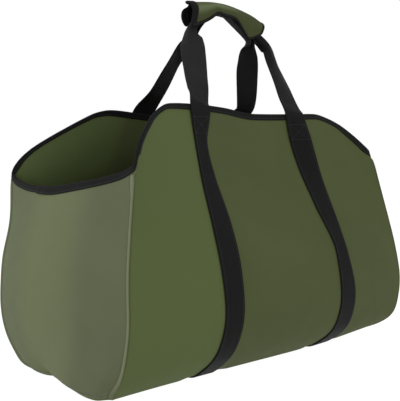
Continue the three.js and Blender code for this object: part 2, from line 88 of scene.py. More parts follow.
# Height of the rim over the base: along the front and the back, and across each end from front to back
RIM = {
    "front": {
        "along": (
            -1, -0.993, -0.978, -0.93, -0.88, -0.82, -0.75, -0.6, -0.28, 0, 0.4, 0.62, 0.74, 0.84, 0.92, 1),
        "height": (314, 325, 340, 362, 380, 391.5, 398.5, 400, 396, 388, 390, 391.5, 385, 374, 356, 327),
    },
    "back": {
        "along": (
            -1, -0.97, -0.93, -0.88, -0.82, -0.75, -0.68, -0.6, -0.4, 0, 0.4, 0.62, 0.74, 0.84, 0.92, 1),
        "height": (301, 323, 341, 356, 371, 386, 397, 401, 397, 390, 391, 394, 389, 378, 359, 331),
    },
}
END_RIM = {
    "left": {
        "across": (-1, -0.88, -0.6, -0.25, 0.1, 0.4, 0.75, 0.92, 1),
        "height": (314, 304.5, 294.5, 286.5, 281, 281, 286.5, 292.5, 301),
    },
    "right": {"across": (-1, -0.8, -0.4, 0, 0.4, 0.8, 1), "height": (328, 320, 313, 310, 313, 322, 331)},
}

# The ends swell by so much, as fully as a power says, up to a height. Folds push their foot: place across the
# end, spread, push, and the height where the fold ends. Near the seams the folds fade out.
END_BULGE = {"left": 34, "right": 48}
END_BULGE_POWER = 0.65
END_BULGE_TOP = {"left": 304, "right": 330}
FOLDS = {
    "left": ((-0.68, 0.75, 19, 95), (0.12, 0.18, -7, 34), (0.5, 0.4, 4, 70)),
    "right": ((-0.1, 0.6, 10, 90),),
}
FOLD_FADE = 10

# Strap places along the bag at the base and at the top height, and how far the front straps' edges towards
# the middle tuck under, by height
STRAP_FOOT = {"left": -137, "right": 127}
STRAP_TOP = {"front": {"left": -116, "right": 91.5}, "back": {"left": -82, "right": 147}}
STRAP_TOP_HEIGHT = 400
STRAP_TUCKS = {
    "left": {
        "height": (0, 100, 190, 225, 290, 345, 377, 395),
        "tuck": (4, 4.5, 1.5, 2.5, 9.5, 15.5, 5, 0),
    },
    "right": {"height": (0, 100, 150, 176, 200, 235), "tuck": (0, 1, 8, 11, 7, 0)},
}

# On the way up, a strap leaves its gap under the base over a height, and climbs onto the rim tape: how far
# under the tape the climb ends, and its length
STRAP_GAP_GROW = 30.0
STRAP_CLIMB = {"under": 1.0, "length": 12.0}

# The straps are eased all along by some passes, and more where they bend over the rim: share, height that it
# reaches and passes
STRAP_PASSES = 4
RIM_EASE = 0.8
RIM_EASE_REACH = 45.0
RIM_EASE_PASSES = 30

# The straps' stitches start at this height, and end in a box that far under the rim.
STITCH_START = 12.0
STITCH_BOX = (38.0, 13.0)

# A lap in each strap under the rim: how far down, its height, its length, and how much longer it is upwards
STRAP_LAP = {"down": 40.0, "height": 0.7, "length": 3.0, "longer": 4}

# The handles' pull turns the front flap under each strap: slope, reach to each side, the heights that it
# grows between, and the share that it loses again up to the rim
TWISTS = {
    "left": {"slope": 0.17, "reach": 40, "from": 300, "to": 380, "ease": 0.2},
    "right": {"slope": 0.32, "reach": 40, "from": 235, "to": 352, "ease": 0.8},
}

# The handles from rim to rim: place, the angle that the webbing's two edges fold back, and the turn about Z
HANDLE_COLUMNS = ("x", "y", "z", "fold", "turn")
HANDLES = {
    "front": (
        (-104.9, -98, 419.5, 0, -12.5),
        (-96.6, -88, 433, 0, -16),
        (-90.1, -78, 445, 0, -18.9),
        (-76, -58, 470.5, 0, -26.4),
        (-63.8, -40, 497, 3, -36.4),
        (-59.3, -34, 505.5, 7.1, -38.8),
        (-54.7, -29, 513, 23.1, -40.9),
        (-49.7, -23.5, 522.5, 38.5, -38.5),
        (-47.1, -20.5, 531.5, 67.8, -34.2),
        (-39, -18, 543, 106, -8),
        (-22, -18, 555, 92, 0),
        (-6, -18, 566.5, 92, 0),
        (10, -18, 573, 92, 0),
        (30, -18, 572.5, 92, 0),
        (60, -18, 562, 92, 0),
        (84, -18, 548, 92, 0),
        (109.8, -22, 531.5, 97.5, 1.3),
        (124, -31, 515.3, 58.8, 18.7),
        (121.2, -41, 495.9, 31.5, 7.6),
        (116.8, -52, 476, 16.4, 2.6),
        (105.4, -80, 437.5, 2.2, -3.7),
        (96.4, -100, 410, 1, -9),
    ),
    "back": (
        (-72.7, 50, 427, 0, -19.4),
        (-61.5, 36, 457, 0, -20),
        (-52.2, 22, 487, 6, -25.5),
        (-43.6, 8, 515, 34, -11.7),
        (-39.5, 0, 526.5, 80, -2),
        (-36, -6, 537, 100, 0),
        (-22, -6, 554, 92, 0),
        (-6, -6, 565.5, 92, 0),
        (10, -6, 572.5, 92, 0),
        (27, -6, 572.5, 92, 0),
        (41, -6, 565, 92, 0),
        (53.5, -6, 557, 92, 0),
        (66, -6, 549, 92, 0),
        (88, -6, 534.5, 98, 10),
        (97.5, -3, 527, 88.9, 35.9),
        (99.7, 3, 511, 42.8, 34.8),
        (109, 13, 493.5, 22, 38),
        (118.2, 23, 475.5, 2.5, 35.4),
        (145, 52, 423.5, 0, 24.2),
        (151.3, 61, 409, 0, 15.8),
    ),
}

# Where the webbing's edges fold back: width of the flat middle, and the width over which each edge bends. Off
# the rim the webbing goes straight on for a clearance.
FOLD_CENTRE = {"front": 12.0, "back": 10.0}
FOLD_ARC = 7.0
RIM_CLEARANCE = 5

# The free handles' webbing is painted a little paler for the light on it, which grows over this height above
# the rim.
HANDLE_PAINTED_LIGHT = {"front": {"left": 0.13, "right": 0.0}, "back": {"left": 0.03, "right": 0.18}}
HANDLE_PAINTED_LIGHT_GROW = 60.0

# The grip wrap along its arch: axis place and height, half width, hang of the near and the far flap, how far
# the near flap slants to the left as it hangs, and how square the top is (1 is round)
GRIP_Y = -12
GRIP = {
    "x": (-50, -24, -8, 8, 24, 42, 53, 64, 74, 86, 98, 111),
    "z": (562.5, 567, 570, 571.7, 572, 570.3, 568.3, 566, 563.3, 559.5, 554.3, 547.5),
    "half": (16.5, 15, 14, 13.2, 12.8, 12.6, 12.6, 12.9, 13.2, 13.8, 14.4, 15),
    "near": (26, 18.5, 12.5, 6.5, 10, 9.5, 12, 20, 26.5, 34, 26, 9),
    "far": (20, 13, 8, 5, 4, 4, 4, 6, 9, 12, 13, 8),
    "slant": (0.4, 0.12, 0, 0, 0, 0, 0, 0, 0, 0, 0, 0),
    "square": (0.7, 0.85, 1, 1, 1, 1, 1, 1, 1, 1, 1, 1),
}

# The wrap is painted paler on its shoulder, a painted highlight: place around it, spread, where along it the
# painted highlight starts to fade, over what share of the length, and what is left of it at the right
GRIP_LIT = {"around": -0.46, "spread": 0.16, "from": 0.3, "over": 0.35, "right": 0.08}

# The share of the way around the wrap that counts as its top
GRIP_TOP = 0.3

# The left end of the wrap: the top corner curls up, and the far flap behind it is cut round. For the curl,
# place around the wrap, spread, height and reach along it. For the round, middle height, half height, depth,
# start and spread around the wrap, and reach along it.
EAR = {"around": -0.05, "spread": 0.12, "up": 0.8, "reach": 9.0}
FAR_ROUND = {"height": 556.5, "half": 17.0, "deep": 15.0, "start": 0.02, "spread": 0.1, "reach": 20.0}

# Mesh fineness: columns and rows of each sheet, and the step along a band
PANEL_COLUMNS = 168
BASE_ROWS = 26
FACE_ROWS = 56
RIM_ROWS = 28
END_COLUMNS = 72
BAND_STEP = 4.0
STRAP_SECTION = 21
GRIP_GRID = (64, 48)

# Samples of the scales that lengths, heights, folds and stitch lines are read from
HEIGHT_SAMPLES = 2000
END_SAMPLES = 800
LENGTH_SAMPLES = 600
FOLD_SAMPLES = 60
STITCH_SAMPLES = 240

# Small steps that slopes are taken over: on the main panel, at the tapes and along the grip
PANEL_STEP = 0.002
TAPE_SLOPE_STEP = 0.004
GRIP_STEP = 0.01

# Tape fineness: stations of a corner, step along the tape, passes that round it at the rim and at the grip,
# points on each leg and round the fold, and stations along a face and an end
CORNER_FAN = 7
TAPE_STEP = 2.5
RIM_PASSES = 6
GRIP_PASSES = 2
TAPE_LEG = 5
TAPE_FOLD = 9
RIM_STATIONS = 170
END_STATIONS = 84

# The cloth's top corners are tucked in under the tape that turns there: how far in, over what height, and how
# close to the corner, as a power
CORNER_TUCK = 5.0
CORNER_TUCK_HEIGHT = 16.0
CORNER_TUCK_POWER = 24

# The rim tape keeps this share of a side clear of the corners. Its ends lap on the left end: place across the
# end, share of the end that is lapped, how far the upper end stands off, and over what length, which is also
# the length of the fade.
CORNER_MARGIN = 0.012
LAP_PLACE = 0.34
LAP_SHARE = 0.1
LAP_LIFT = 1.1
LAP_LENGTH = 22.0

# The tape's reach down the cloth: along the front as a share of its usual reach, and across the left end.
# Then how far in from the tape's edge its stitches lie, at the rim and at the grip.
FRONT_TAPE = {"along": (-1, 0.7, 0.82, 0.92, 1), "share": (1, 1, 1.2, 1.7, 1.6)}
LEFT_TAPE = {"across": (-1, -0.6, 0, 0.2, 0.4, 1), "drop": (9, 9, 10.5, 9, 7.6, 7.6)}
RIM_STITCH_INSET = 2.2
GRIP_STITCH_INSET = 1.8

# The cloth left of the left strap is painted lighter for the light that it faces more, and this painted light
# changes over this width.
LIT_EDGE = 24.0

# The ends are painted palest across their middle, past a soft crease, for the light on their bulge: share of
# the painted lit olive across the end.
END_PAINTED_LIGHT = {"across": (-1, -0.65, -0.3, 0.1, 0.5, 1), "tone": (0, 0, 0.85, 1, 0.5, 0.35)}

# The seam: how far its turned edge reaches onto the end, at the near upright edge and elsewhere, how far onto
# the face, its height and what it has of it at its top end, how far under the rim it starts and over what
# length it grows, the rows over which its reach changes, and how much wider it is at the top and over what
# length
SEAM_REACH = {"front": 1.8, "back": 5.0, "face": 1.8}
SEAM_HEIGHT = 0.6
SEAM_LEAST = 0.2
SEAM_START = 13.0
SEAM_GROW = 10.0
SEAM_WIDE_ROWS = (1.5, 3.0)
SEAM_TOP = {"more": 6.0, "length": 36.0}

# The seam's section: angles of the tip in degrees from the end to the face, where its shoulders lie as a
# share of the way to the corner and how high, how far its feet stand off the cloth, how deep its root is, and
# the passes that ease it. Its stitches are lifted off the end.
SEAM_TIP = (8, 45, 82)
SEAM_SHOULDER = {"end": (0.3, 0.8), "face": (0.55, 0.4)}
SEAM_FOOT = {"end": 0.25, "face": 0.1}
SEAM_ROOT = 0.4
SEAM_PASSES = 2
SEAM_STITCH_LIFT = 0.2

# How pale the seam is at each point of its section, a painted highlight with some rubbing, and the share of
# that away from the upright edge
SEAM_HIGHLIGHT_AND_WEAR = (0.8, 0.9, 0.5, 0.2, 0.0, 0.0, 0.0, 0.0)
SEAM_HIGHLIGHT_AND_WEAR_LEAST = 0.4

# One stitch: places along it, thickness there, and how it bows up out of the cloth, as shares
STITCH_PLACE = np.array((-0.5, -0.4, -0.15, 0.15, 0.4, 0.5))
STITCH_THICK = np.array((0.45, 0.85, 1.0, 1.0, 0.85, 0.45))
STITCH_BOW = np.array((-1.0, -0.1, 0.35, 0.35, -0.1, -1.0))
STITCH_SIDES = 6
STITCH_SHARE = 0.72

# Finishes, in metres: the range that a noise mostly has, then the scale of a noise and the range it is spread
# to, for slow changes of shade, flecks and roughness, the depth and strength of the weave, and the gloss
NOISE_RANGE = (0.28, 0.72)
CANVAS = {"slow": (7.0, 0.94, 1.06), "fleck": (900.0, 0.93, 1.07), "rough": (40.0, 0.66, 0.8)}
CANVAS_WEAVE = {"depth": 0.00025, "strength": 0.45}
BLACK = {"slow": (30.0, 0.85, 1.15), "rib": (0.8, 1.15), "rough_scale": 60.0, "rough_spread": 0.06}
BLACK_WEAVE_STRENGTH = 0.6
GLOSS = 0.06

# Black weaves: spacing of the ribs across and along, roughness and depth. Where light is painted on the
# webbing, it goes towards a grey by a share.
BLACK_WEAVES = {
    "webbing": {"across": 0.0016, "along": 0.0011, "rough": 0.6, "depth": 0.0003},
    "tape": {"across": 0.0012, "along": 0.0012, "rough": 0.68, "depth": 0.0002},
    "lining": {"across": 0.0015, "along": 0.0015, "rough": 0.85, "depth": 0.0004},
}
BLACK_PAINTED_LIGHT = {"grey": 0.2, "share": 0.3}

# Sewing thread: scale of its twist, the shades of the twist, its depth and strength, and its roughness
THREAD = {"scale": 400.0, "shade": (0.75, 1.2), "depth": 0.0001, "strength": 0.5, "rough": 0.55}

# Scale at which a wave texture has one band a unit
WAVE_SCALE = math.pi / 10

# The colour sockets of a mix node, which share their names with the sockets for its other kinds of value
MIX_FIRST, MIX_SECOND, MIX_RESULT = 6, 7, 2

# The studio, in metres: half width of the floor, its grey and roughness, the lights, what they aim at, and
# the camera's sensor in millimetres and its range
FLOOR = {"reach": 12.0, "grey": 0.1, "rough": 0.9}
LIGHTS = {
    "key": {"place": (-1.9, 0.1, 1.1), "size": 1.6},
    "fill": {"place": (0.5, -2.4, 1.3), "size": 1.8},
}
LIGHT_AIM = (0, 0, 0.25)
CAMERA = {"sensor": 36, "near": 0.05, "far": 100}

SIDES = {"front": -1, "back": 1}
ENDS = {"left": -1, "right": 1}


class CarrierCloth(bpy.types.PropertyGroup):
    """Sizes and colours of the canvas."""

    thickness: FloatProperty(
        name="Thickness", description="Thickness of the canvas", default=0.0018, unit="LENGTH")
    thread: FloatProperty(
        name="Thread", description="Spacing of the canvas threads", default=0.0008, unit="LENGTH")
    face_colour: FloatVectorProperty(
        name="Face", description="Olive of the front and back", default=(0.0637, 0.0751, 0.0301),
        subtype="COLOR", size=3)
    # Painted light: the lit olive that the cloth left of the left strap goes towards.
    lit_colour: FloatVectorProperty(
        name="Lit", description="Fresher olive left of the left strap", default=(0.076, 0.0983, 0.0363),
        subtype="COLOR", size=3)
    # The ends' olive is greyer and paler than the faces' partly for the canvas and partly as painted sheen
    # and key light.
    end_colour: FloatVectorProperty(
        name="End", description="Greyer olive of the ends", default=(0.0869, 0.0971, 0.0556),
        subtype="COLOR", size=3)
    # Painted light: the paler olive across the ends' middle.
    end_lit_colour: FloatVectorProperty(
        name="End lit", description="Paler olive across the ends' middle", default=(0.111, 0.126, 0.065),
        subtype="COLOR", size=3)
    # Painted highlight with some rubbing: the paler olive on the seams' edges.
    seam_highlight_colour: FloatVectorProperty(
        name="Seam", description="Paler olive of the rubbed seam edges", default=(0.150, 0.165, 0.104),
        subtype="COLOR", size=3)
    grip_colour: FloatVectorProperty(
        name="Grip", description="Olive of the grip wrap", default=(0.045, 0.0535, 0.0205),
        subtype="COLOR", size=3)
    # Painted highlight: the paler olive on the grip's shoulder.
    grip_lit_colour: FloatVectorProperty(
        name="Grip lit", description="Paler olive on the grip's shoulder", default=(0.104, 0.127, 0.061),
        subtype="COLOR", size=3)


class CarrierTrim(bpy.types.PropertyGroup):
    """Sizes and colours of the tape, webbing and thread."""

    webbing_width: FloatProperty(
        name="Webbing width", description="Width of the straps", default=0.038, unit="LENGTH")
    webbing_thickness: FloatProperty(
        name="Webbing thickness", description="Thickness of the straps", default=0.002, unit="LENGTH")
    tape_thickness: FloatProperty(
        name="Tape thickness", description="Thickness of the edge tape", default=0.0009, unit="LENGTH")
    face_drop: FloatProperty(
        name="Face drop", description="Reach of the rim tape on the faces", default=0.008, unit="LENGTH")
    end_drop: FloatProperty(
        name="End drop", description="Reach of the rim tape on the right end", default=0.0105, unit="LENGTH")
    grip_end_drop: FloatProperty(
        name="Grip end drop", description="Reach of the tape on the grip's left end", default=0.010,
        unit="LENGTH")
    grip_edge_drop: FloatProperty(
        name="Grip edge drop", description="Reach of the tape under the grip", default=0.003, unit="LENGTH")
    stitch_pitch: FloatProperty(
        name="Stitch pitch", description="Length from stitch to stitch", default=0.0042, unit="LENGTH")
    stitch_inset: FloatProperty(
        name="Stitch inset", description="Inset of the straps' stitches", default=0.003, unit="LENGTH")
    thread_radius: FloatProperty(
        name="Thread radius", description="Radius of the sewing thread", default=0.0003, unit="LENGTH")
    black: FloatVectorProperty(
        name="Black", description="Black of the tape and webbing", default=(0.0064, 0.0064, 0.0063),
        subtype="COLOR", size=3)


class CarrierStudio(bpy.types.PropertyGroup):
    """Camera and light."""

    eye: FloatVectorProperty(
        name="Eye", description="Place of the camera", default=(-0.8758, -0.992, 0.3252),
        subtype="TRANSLATION", size=3)
    yaw: FloatProperty(
        name="Yaw", description="Heading of the camera, from +Y to +X", default=math.radians(40.81),
        subtype="ANGLE")
    pitch: FloatProperty(
        name="Pitch", description="How far the camera looks down", default=math.radians(3.2), subtype="ANGLE")
    roll: FloatProperty(
        name="Roll", description="Roll of the camera", default=math.radians(-0.86), subtype="ANGLE")
    lens: FloatProperty(
        name="Lens", description="Focal length on a 36 mm sensor", default=69.44, unit="CAMERA")
    key: FloatProperty(
        name="Key light", description="Power of the key light", default=14.0, unit="POWER")
    fill: FloatProperty(
        name="Fill light", description="Power of the fill light", default=8.0, unit="POWER")
    sky: FloatProperty(
        name="Sky", description="Strength of the white surroundings", default=1.0)
    floor: FloatProperty(
        name="Floor", description="Own light of the lit white floor", default=0.98)


def mix(a, b, k):
    return a + (b - a) * k


def clamp01(k):
    return np.clip(k, 0, 1)


def smooth(k):
    return k * k * (3 - 2 * k)


def unit(vectors):
    length = np.linalg.norm(vectors, axis=-1, keepdims=True)
    return vectors / np.maximum(length, 1e-9)


def curve(values, knots=None):
    """Monotone cubic through a table's column, against another column or the row number."""
    value = np.array(values, float)
    knots = np.arange(len(value)) if knots is None else np.array(knots, float)
    gap = np.diff(knots)
    step = np.diff(value) / gap
    slope = np.concatenate([step[:1], np.zeros(len(step) - 1), step[-1:]])
    rising = step[:-1] * step[1:] > 0
    total = np.where(rising, step[:-1] + step[1:], 1)
    slope[1:-1] = np.where(rising, 2 * step[:-1] * step[1:] / total, 0)

    def at(place):
        i = np.clip(np.searchsorted(knots, place, side="right") - 1, 0, len(gap) - 1)
        k = (place - knots[i]) / gap[i]
        bend = slope[i] * k * (1 - k) ** 2 - slope[i + 1] * k * k * (1 - k)
        return value[i] + gap[i] * (step[i] * smooth(k) + bend)

    return at


def softened(at, reach=0.4):
    """The mean of a column over a short reach of rows, which takes the kinks out of its curvature."""
    taps = np.linspace(-reach, reach, 5)
    weights = np.array((1, 4, 6, 4, 1)) / 16
    return lambda row: sum(w * at(np.asarray(row, float) + tap) for w, tap in zip(weights, taps))


LEVEL = {key: softened(curve(values)) for key, values in LEVELS.items()}
RIM_AT = {key: curve(table["height"], table["along"]) for key, table in RIM.items()}
END_RIM_AT = {key: curve(table["height"], table["across"]) for key, table in END_RIM.items()}
LEFT_TAPE_DROP = curve(LEFT_TAPE["drop"], LEFT_TAPE["across"])
FRONT_TAPE_SHARE = curve(FRONT_TAPE["share"], FRONT_TAPE["along"])
TUCK_AT = {key: curve(table["tuck"], table["height"]) for key, table in STRAP_TUCKS.items()}
ROW_SCALE = np.linspace(1, LAST_LEVEL, HEIGHT_SAMPLES)
HEIGHT_SCALE = np.maximum.accumulate(LEVEL["height"](ROW_SCALE))


def row_at(height):
    return np.interp(height, HEIGHT_SCALE, ROW_SCALE)


def fold_push(end, across, height):
    """Outward push of an end's foot by its folds."""
    edge = clamp01((1 - np.abs(across)) * FOLD_FADE)
    total = 0
    for place, spread, push, reach in FOLDS[end]:
        side = clamp01(1 - ((across - place) / spread) ** 2)
        total = total + push * side * side * edge * (1 - smooth(clamp01(height / reach)))
    return total


def strap_centre(end, face, height):
    return mix(STRAP_FOOT[end], STRAP_TOP[face][end], height / STRAP_TOP_HEIGHT)


def flap_twist(x, height):
    """Change of the front's depth where the handles pull on it."""
    total = 0
    for end, twist in TWISTS.items():
        from_strap = x - strap_centre(end, "front", height)
        grown = smooth(clamp01((height - twist["from"]) / (twist["to"] - twist["from"])))
        eased = smooth(clamp01((height - twist["to"]) / (STRAP_TOP_HEIGHT - twist["to"])))
        grown = grown * (1 - twist["ease"] * eased)
        total = total + twist["slope"] * grown * from_strap * np.exp(-(from_strap / twist["reach"]) ** 2)
    return total


def base_lift(x, height):
    """How far the cloth is lifted off the floor, by the straps and the sag between them."""
    feet = [((x - foot) / BASE_SAG["clear"]) ** BASE_SAG["square"] for foot in STRAP_FOOT.values()]
    over_strap = sum(np.exp(-far) for far in feet)
    low = 1 - smooth(clamp01(height / BASE_SAG["height"]))
    return BASE_LIFT - BASE_SAG["down"] * low * (1 - over_strap)


def panel(along, row, side):
    """Points of the main panel's outer face: along -1 to 1, row of LEVELS, side -1 front or 1 back."""
    along, row, side = np.broadcast_arrays(np.asarray(along, float), np.asarray(row, float), side)
    left = along < 0
    left_depth = np.where(side < 0, LEVEL["left_front"](row), LEVEL["left_back"](row))
    end_depth = np.where(left, left_depth, LEVEL["right_both"](row))
    face_depth = np.where(side < 0, LEVEL["front"](row), LEVEL["back"](row))
    depth = mix(end_depth, face_depth, 1 - np.abs(along) ** BELLY_POWER)
    height = LEVEL["height"](row)
    reach = np.where(left, LEVEL["left"](row), LEVEL["right"](row))
    depth = depth + np.where(side < 0, flap_twist(along * reach, height), 0)
    across = side * np.minimum(row, 1)
    push = np.where(left, fold_push("left", across, height), fold_push("right", across, height))
    reach = reach + push * np.abs(along) ** FOOT_POWER
    x = along * reach
    return np.stack([x, side * depth, base_lift(x, height) + height], axis=-1)


def panel_normal(along, row, side):
    d = PANEL_STEP
    low = np.maximum(np.asarray(row, float) - d, 0)
    by_row = panel(along, row + d, side) - panel(along, low, side)
    ahead = np.minimum(np.asarray(along, float) + d, 1)
    behind = np.maximum(np.asarray(along, float) - d, -1)
    by_along = panel(ahead, row, side) - panel(behind, row, side)
    return unit(np.cross(by_along, by_row) * -np.asarray(side, float)[..., None])


def panel_off(along, row, side, out):
    """Points that stand off the main panel's outer face."""
    along, row, side, out = np.broadcast_arrays(np.asarray(along, float), row, side, out)
    return panel(along, row, side) + panel_normal(along, row, side) * out[..., None]


def rim_height(along, side):
    return RIM_AT["front" if side < 0 else "back"](np.clip(along, -1, 1))


def rim_row(along, side):
    return row_at(rim_height(along, side))


def seam_line(end, row, inward, cloth, side=1):
    """Where an end panel's edge meets the main panel's inner face, a distance in from the end."""
    along = ENDS[end] * (1 - inward / LEVEL[end](row))
    return panel_off(along, row, side, -cloth - SEAM_GAP)


def end_rim_height(end, across):
    return BASE_LIFT + END_RIM_AT[end](np.clip(across, -1, 1))


def end_panel(end, across, row, inward, cloth):
    """Points of an end panel: across -1 front to 1 back, row of LEVELS, distance in from its outer face."""
    across, row = np.broadcast_arrays(np.asarray(across, float), np.asarray(row, float))
    seam = seam_line(end, row, inward, cloth, np.where(across < 0, -1, 1))
    height = seam[..., 2] - BASE_LIFT
    swell = np.sin(math.pi * clamp01(height / END_BULGE_TOP[end])) ** END_BULGE_POWER
    out = END_BULGE[end] * (1 - across ** 2) * swell + fold_push(end, across, height)
    x = ENDS[end] * (LEVEL[end](row) + out - inward)
    return np.stack([x, across * np.abs(seam[..., 1]), seam[..., 2]], axis=-1)


def end_row_at(end, height, cloth):
    """Row at which an end panel reaches a height over the floor."""
    rows = np.linspace(1, LAST_LEVEL, END_SAMPLES)
    return np.interp(height, np.maximum.accumulate(seam_line(end, rows, 0, cloth)[:, 2]), rows)


def run_length(points, axis):
    """Length along a grid of points, from the first, on one axis."""
    steps = np.linalg.norm(np.diff(points, axis=axis), axis=-1)
    start = np.zeros_like(np.take(steps, [0], axis=axis))
    return np.concatenate([start, np.cumsum(steps, axis=axis)], axis=axis)


def even_rows(row_to_point, start, stop, step):
    """Rows from start to stop that are about a step apart on a line of points."""
    rows = np.linspace(start, stop, LENGTH_SAMPLES)
    length = run_length(row_to_point(rows), 0)
    count = max(2, int(round(length[-1] / step)) + 1)
    return np.interp(np.linspace(0, length[-1], count), length, rows)


def grid_normals(points):
    by_column = np.gradient(points, axis=1)
    by_row = np.gradient(points, axis=0)
    return unit(np.cross(by_column, by_row))


def softly(points, passes):
    """Points averaged with their neighbours along the first axis, with both ends held."""
    points = points.copy()
    for _ in range(passes):
        points[1:-1] = (points[:-2] + 2 * points[1:-1] + points[2:]) / 4
    return points


def evened(points, run, step):
    """Points at even steps along the first axis, by the length run there."""
    even = np.linspace(0, run[-1], int(run[-1] / step) + 1)
    place = np.interp(even, run, np.arange(len(run)))
    i = np.minimum(place.astype(int), len(run) - 2)
    k = (place - i).reshape(-1, *[1] * (points.ndim - 1))
    return mix(points[i], points[i + 1], k)


def new_piece(name, points, faces, materials, cloth, face_material=None, wear=None):
    """A mesh object of the part, in metres, that rides on the frame's body."""
    mesh = bpy.data.meshes.new(name)
    mesh.from_pydata((points * MM).tolist(), [], faces)
    mesh.shade_smooth()
    for material in materials:
        mesh.materials.append(material)
    if face_material is not None:
        mesh.polygons.foreach_set("material_index", np.asarray(face_material, np.int32))
    flat = mesh.attributes.new("cloth", "FLOAT_VECTOR", "POINT")
    flat.data.foreach_set("vector", (cloth * MM).astype(np.float32).ravel())
    # A share per point of painted light and highlights, and of rubbing on the seams.
    wear = np.zeros(len(points)) if wear is None else wear
    lit_and_worn = mesh.attributes.new("wear", "FLOAT", "POINT")
    lit_and_worn.data.foreach_set("value", wear.astype(np.float32))
    mesh.update()
    piece = bpy.data.objects.new(name, mesh)
    bpy.context.scene.collection.objects.link(piece)
    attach(piece, "root")
    return piece


def border(rows, columns):
    """Row and column numbers round the edge of a grid."""
    top = [(0, j) for j in range(columns - 1)]
    right = [(i, columns - 1) for i in range(rows - 1)]
    bottom = [(rows - 1, j) for j in range(columns - 1, 0, -1)]
    left = [(i, 0) for i in range(rows - 1, 0, -1)]
    return np.array(top + right + bottom + left)


def sheet_piece(name, middle, thickness, materials, normals=None, wear=None):
    """A sheet with rounded edges about a grid of points on its middle surface."""
    rows, columns = middle.shape[:2]
    normals = grid_normals(middle) if normals is None else normals
    edge = border(rows, columns)
    inner = np.stack([np.clip(edge[:, 0], 1, rows - 2), np.clip(edge[:, 1], 1, columns - 2)], axis=1)
    rim = middle[edge[:, 0], edge[:, 1]]
    rim = rim + unit(rim - middle[inner[:, 0], inner[:, 1]]) * thickness / 2
    half = rows * columns
    points = np.concatenate([
        (middle + normals * thickness / 2).reshape(-1, 3),
        (middle - normals * thickness / 2).reshape(-1, 3),
        rim,
    ])
    flat = np.stack([run_length(middle, 1), run_length(middle, 0), np.zeros((rows, columns))], axis=-1)
    flat = flat.reshape(-1, 3)
    number = np.arange(half).reshape(rows, columns)
    a, b = number[:-1, :-1].ravel(), number[:-1, 1:].ravel()
    c, d = number[1:, 1:].ravel(), number[1:, :-1].ravel()
    loop = number[edge[:, 0], edge[:, 1]]
    following = np.roll(loop, -1)
    ring = 2 * half + np.arange(len(loop))
    ring_following = np.roll(ring, -1)
    faces = np.concatenate([
        np.stack([a, b, c, d], axis=1),
        np.stack([a, d, c, b], axis=1) + half,
        np.stack([following, loop, ring, ring_following], axis=1),
        np.stack([ring_following, ring, loop + half, following + half], axis=1),
    ])
    face_material = np.zeros(len(faces), int)
    face_material[len(a):2 * len(a)] = len(materials) - 1
    wear = np.zeros((rows, columns)) if wear is None else wear
    lit_and_worn = np.concatenate([wear.ravel(), wear.ravel(), wear.ravel()[loop]])
    cloth = np.concatenate([flat, flat, flat[loop]])
    return new_piece(name, points, faces.tolist(), materials, cloth, face_material, lit_and_worn)


def stitch_row(path, normals, pitch, radius):
    """Points and faces of a row of stitches along a path on a surface."""
    length = run_length(path, 0)
    count = max(1, int(length[-1] / pitch))
    places = (np.arange(count) + 0.5) * length[-1] / count
    span = np.array([np.interp(places, length, path[:, k]) for k in range(3)]).T
    up = unit(np.array([np.interp(places, length, normals[:, k]) for k in range(3)]).T)
    ahead = np.array([np.interp(places + pitch / 4, length, path[:, k]) for k in range(3)]).T
    ahead = unit(ahead - span)
    aside = unit(np.cross(up, ahead))
    turn = np.arange(STITCH_SIDES) * 2 * math.pi / STITCH_SIDES
    ring_side = np.cos(turn)[None, :] * STITCH_THICK[:, None] * radius
    ring_up = (np.sin(turn)[None, :] * STITCH_THICK[:, None] + STITCH_BOW[:, None]) * radius
    along = np.repeat(STITCH_PLACE[:, None] * pitch * STITCH_SHARE, STITCH_SIDES, axis=1)
    points = (
        span[:, None, None] + along[None, ..., None] * ahead[:, None, None]
        + ring_side[None, ..., None] * aside[:, None, None]
        + ring_up[None, ..., None] * up[:, None, None])
    rings, each = len(STITCH_PLACE), len(STITCH_PLACE) * STITCH_SIDES
    one = []
    for i in range(rings - 1):
        for j in range(STITCH_SIDES):
            k = (j + 1) % STITCH_SIDES
            one.append([i * STITCH_SIDES + j, i * STITCH_SIDES + k,
                        (i + 1) * STITCH_SIDES + k, (i + 1) * STITCH_SIDES + j])
    caps = [list(range(STITCH_SIDES))[::-1], list(range(each - STITCH_SIDES, each))]
    faces = [[v + s * each for v in face] for s in range(count) for face in one + caps]
    return points.reshape(-1, 3), faces


def stitch_piece(name, rows, material, trim):
    """All the stitch rows of one group as one mesh."""
    points, faces, start = [], [], 0
    for path, normals in rows:
        made, made_faces = stitch_row(path, normals, trim.stitch_pitch / MM, trim.thread_radius / MM)
        points.append(made)
        faces += [[v + start for v in face] for face in made_faces]
        start += len(made)
    points = np.concatenate(points)
    return new_piece(name, points, faces, [material], points)


def node(tree, kind, **values):
    """A shader node with its settings and unlinked inputs."""
    made = tree.nodes.new(kind)
    for key, value in values.items():
        if key.startswith("in_"):
            made.inputs[key[3:].replace("_", " ")].default_value = value
        else:
            setattr(made, key, value)
    return made


def start_material(name):
    """A new material with its tree, Principled shader and the cloth's flat coordinates."""
    material = bpy.data.materials.new(name)
    material.use_nodes = True
    tree = material.node_tree
    shader = tree.nodes["Principled BSDF"]
    flat = node(tree, "ShaderNodeAttribute", attribute_name="cloth")
    return material, tree, shader, flat


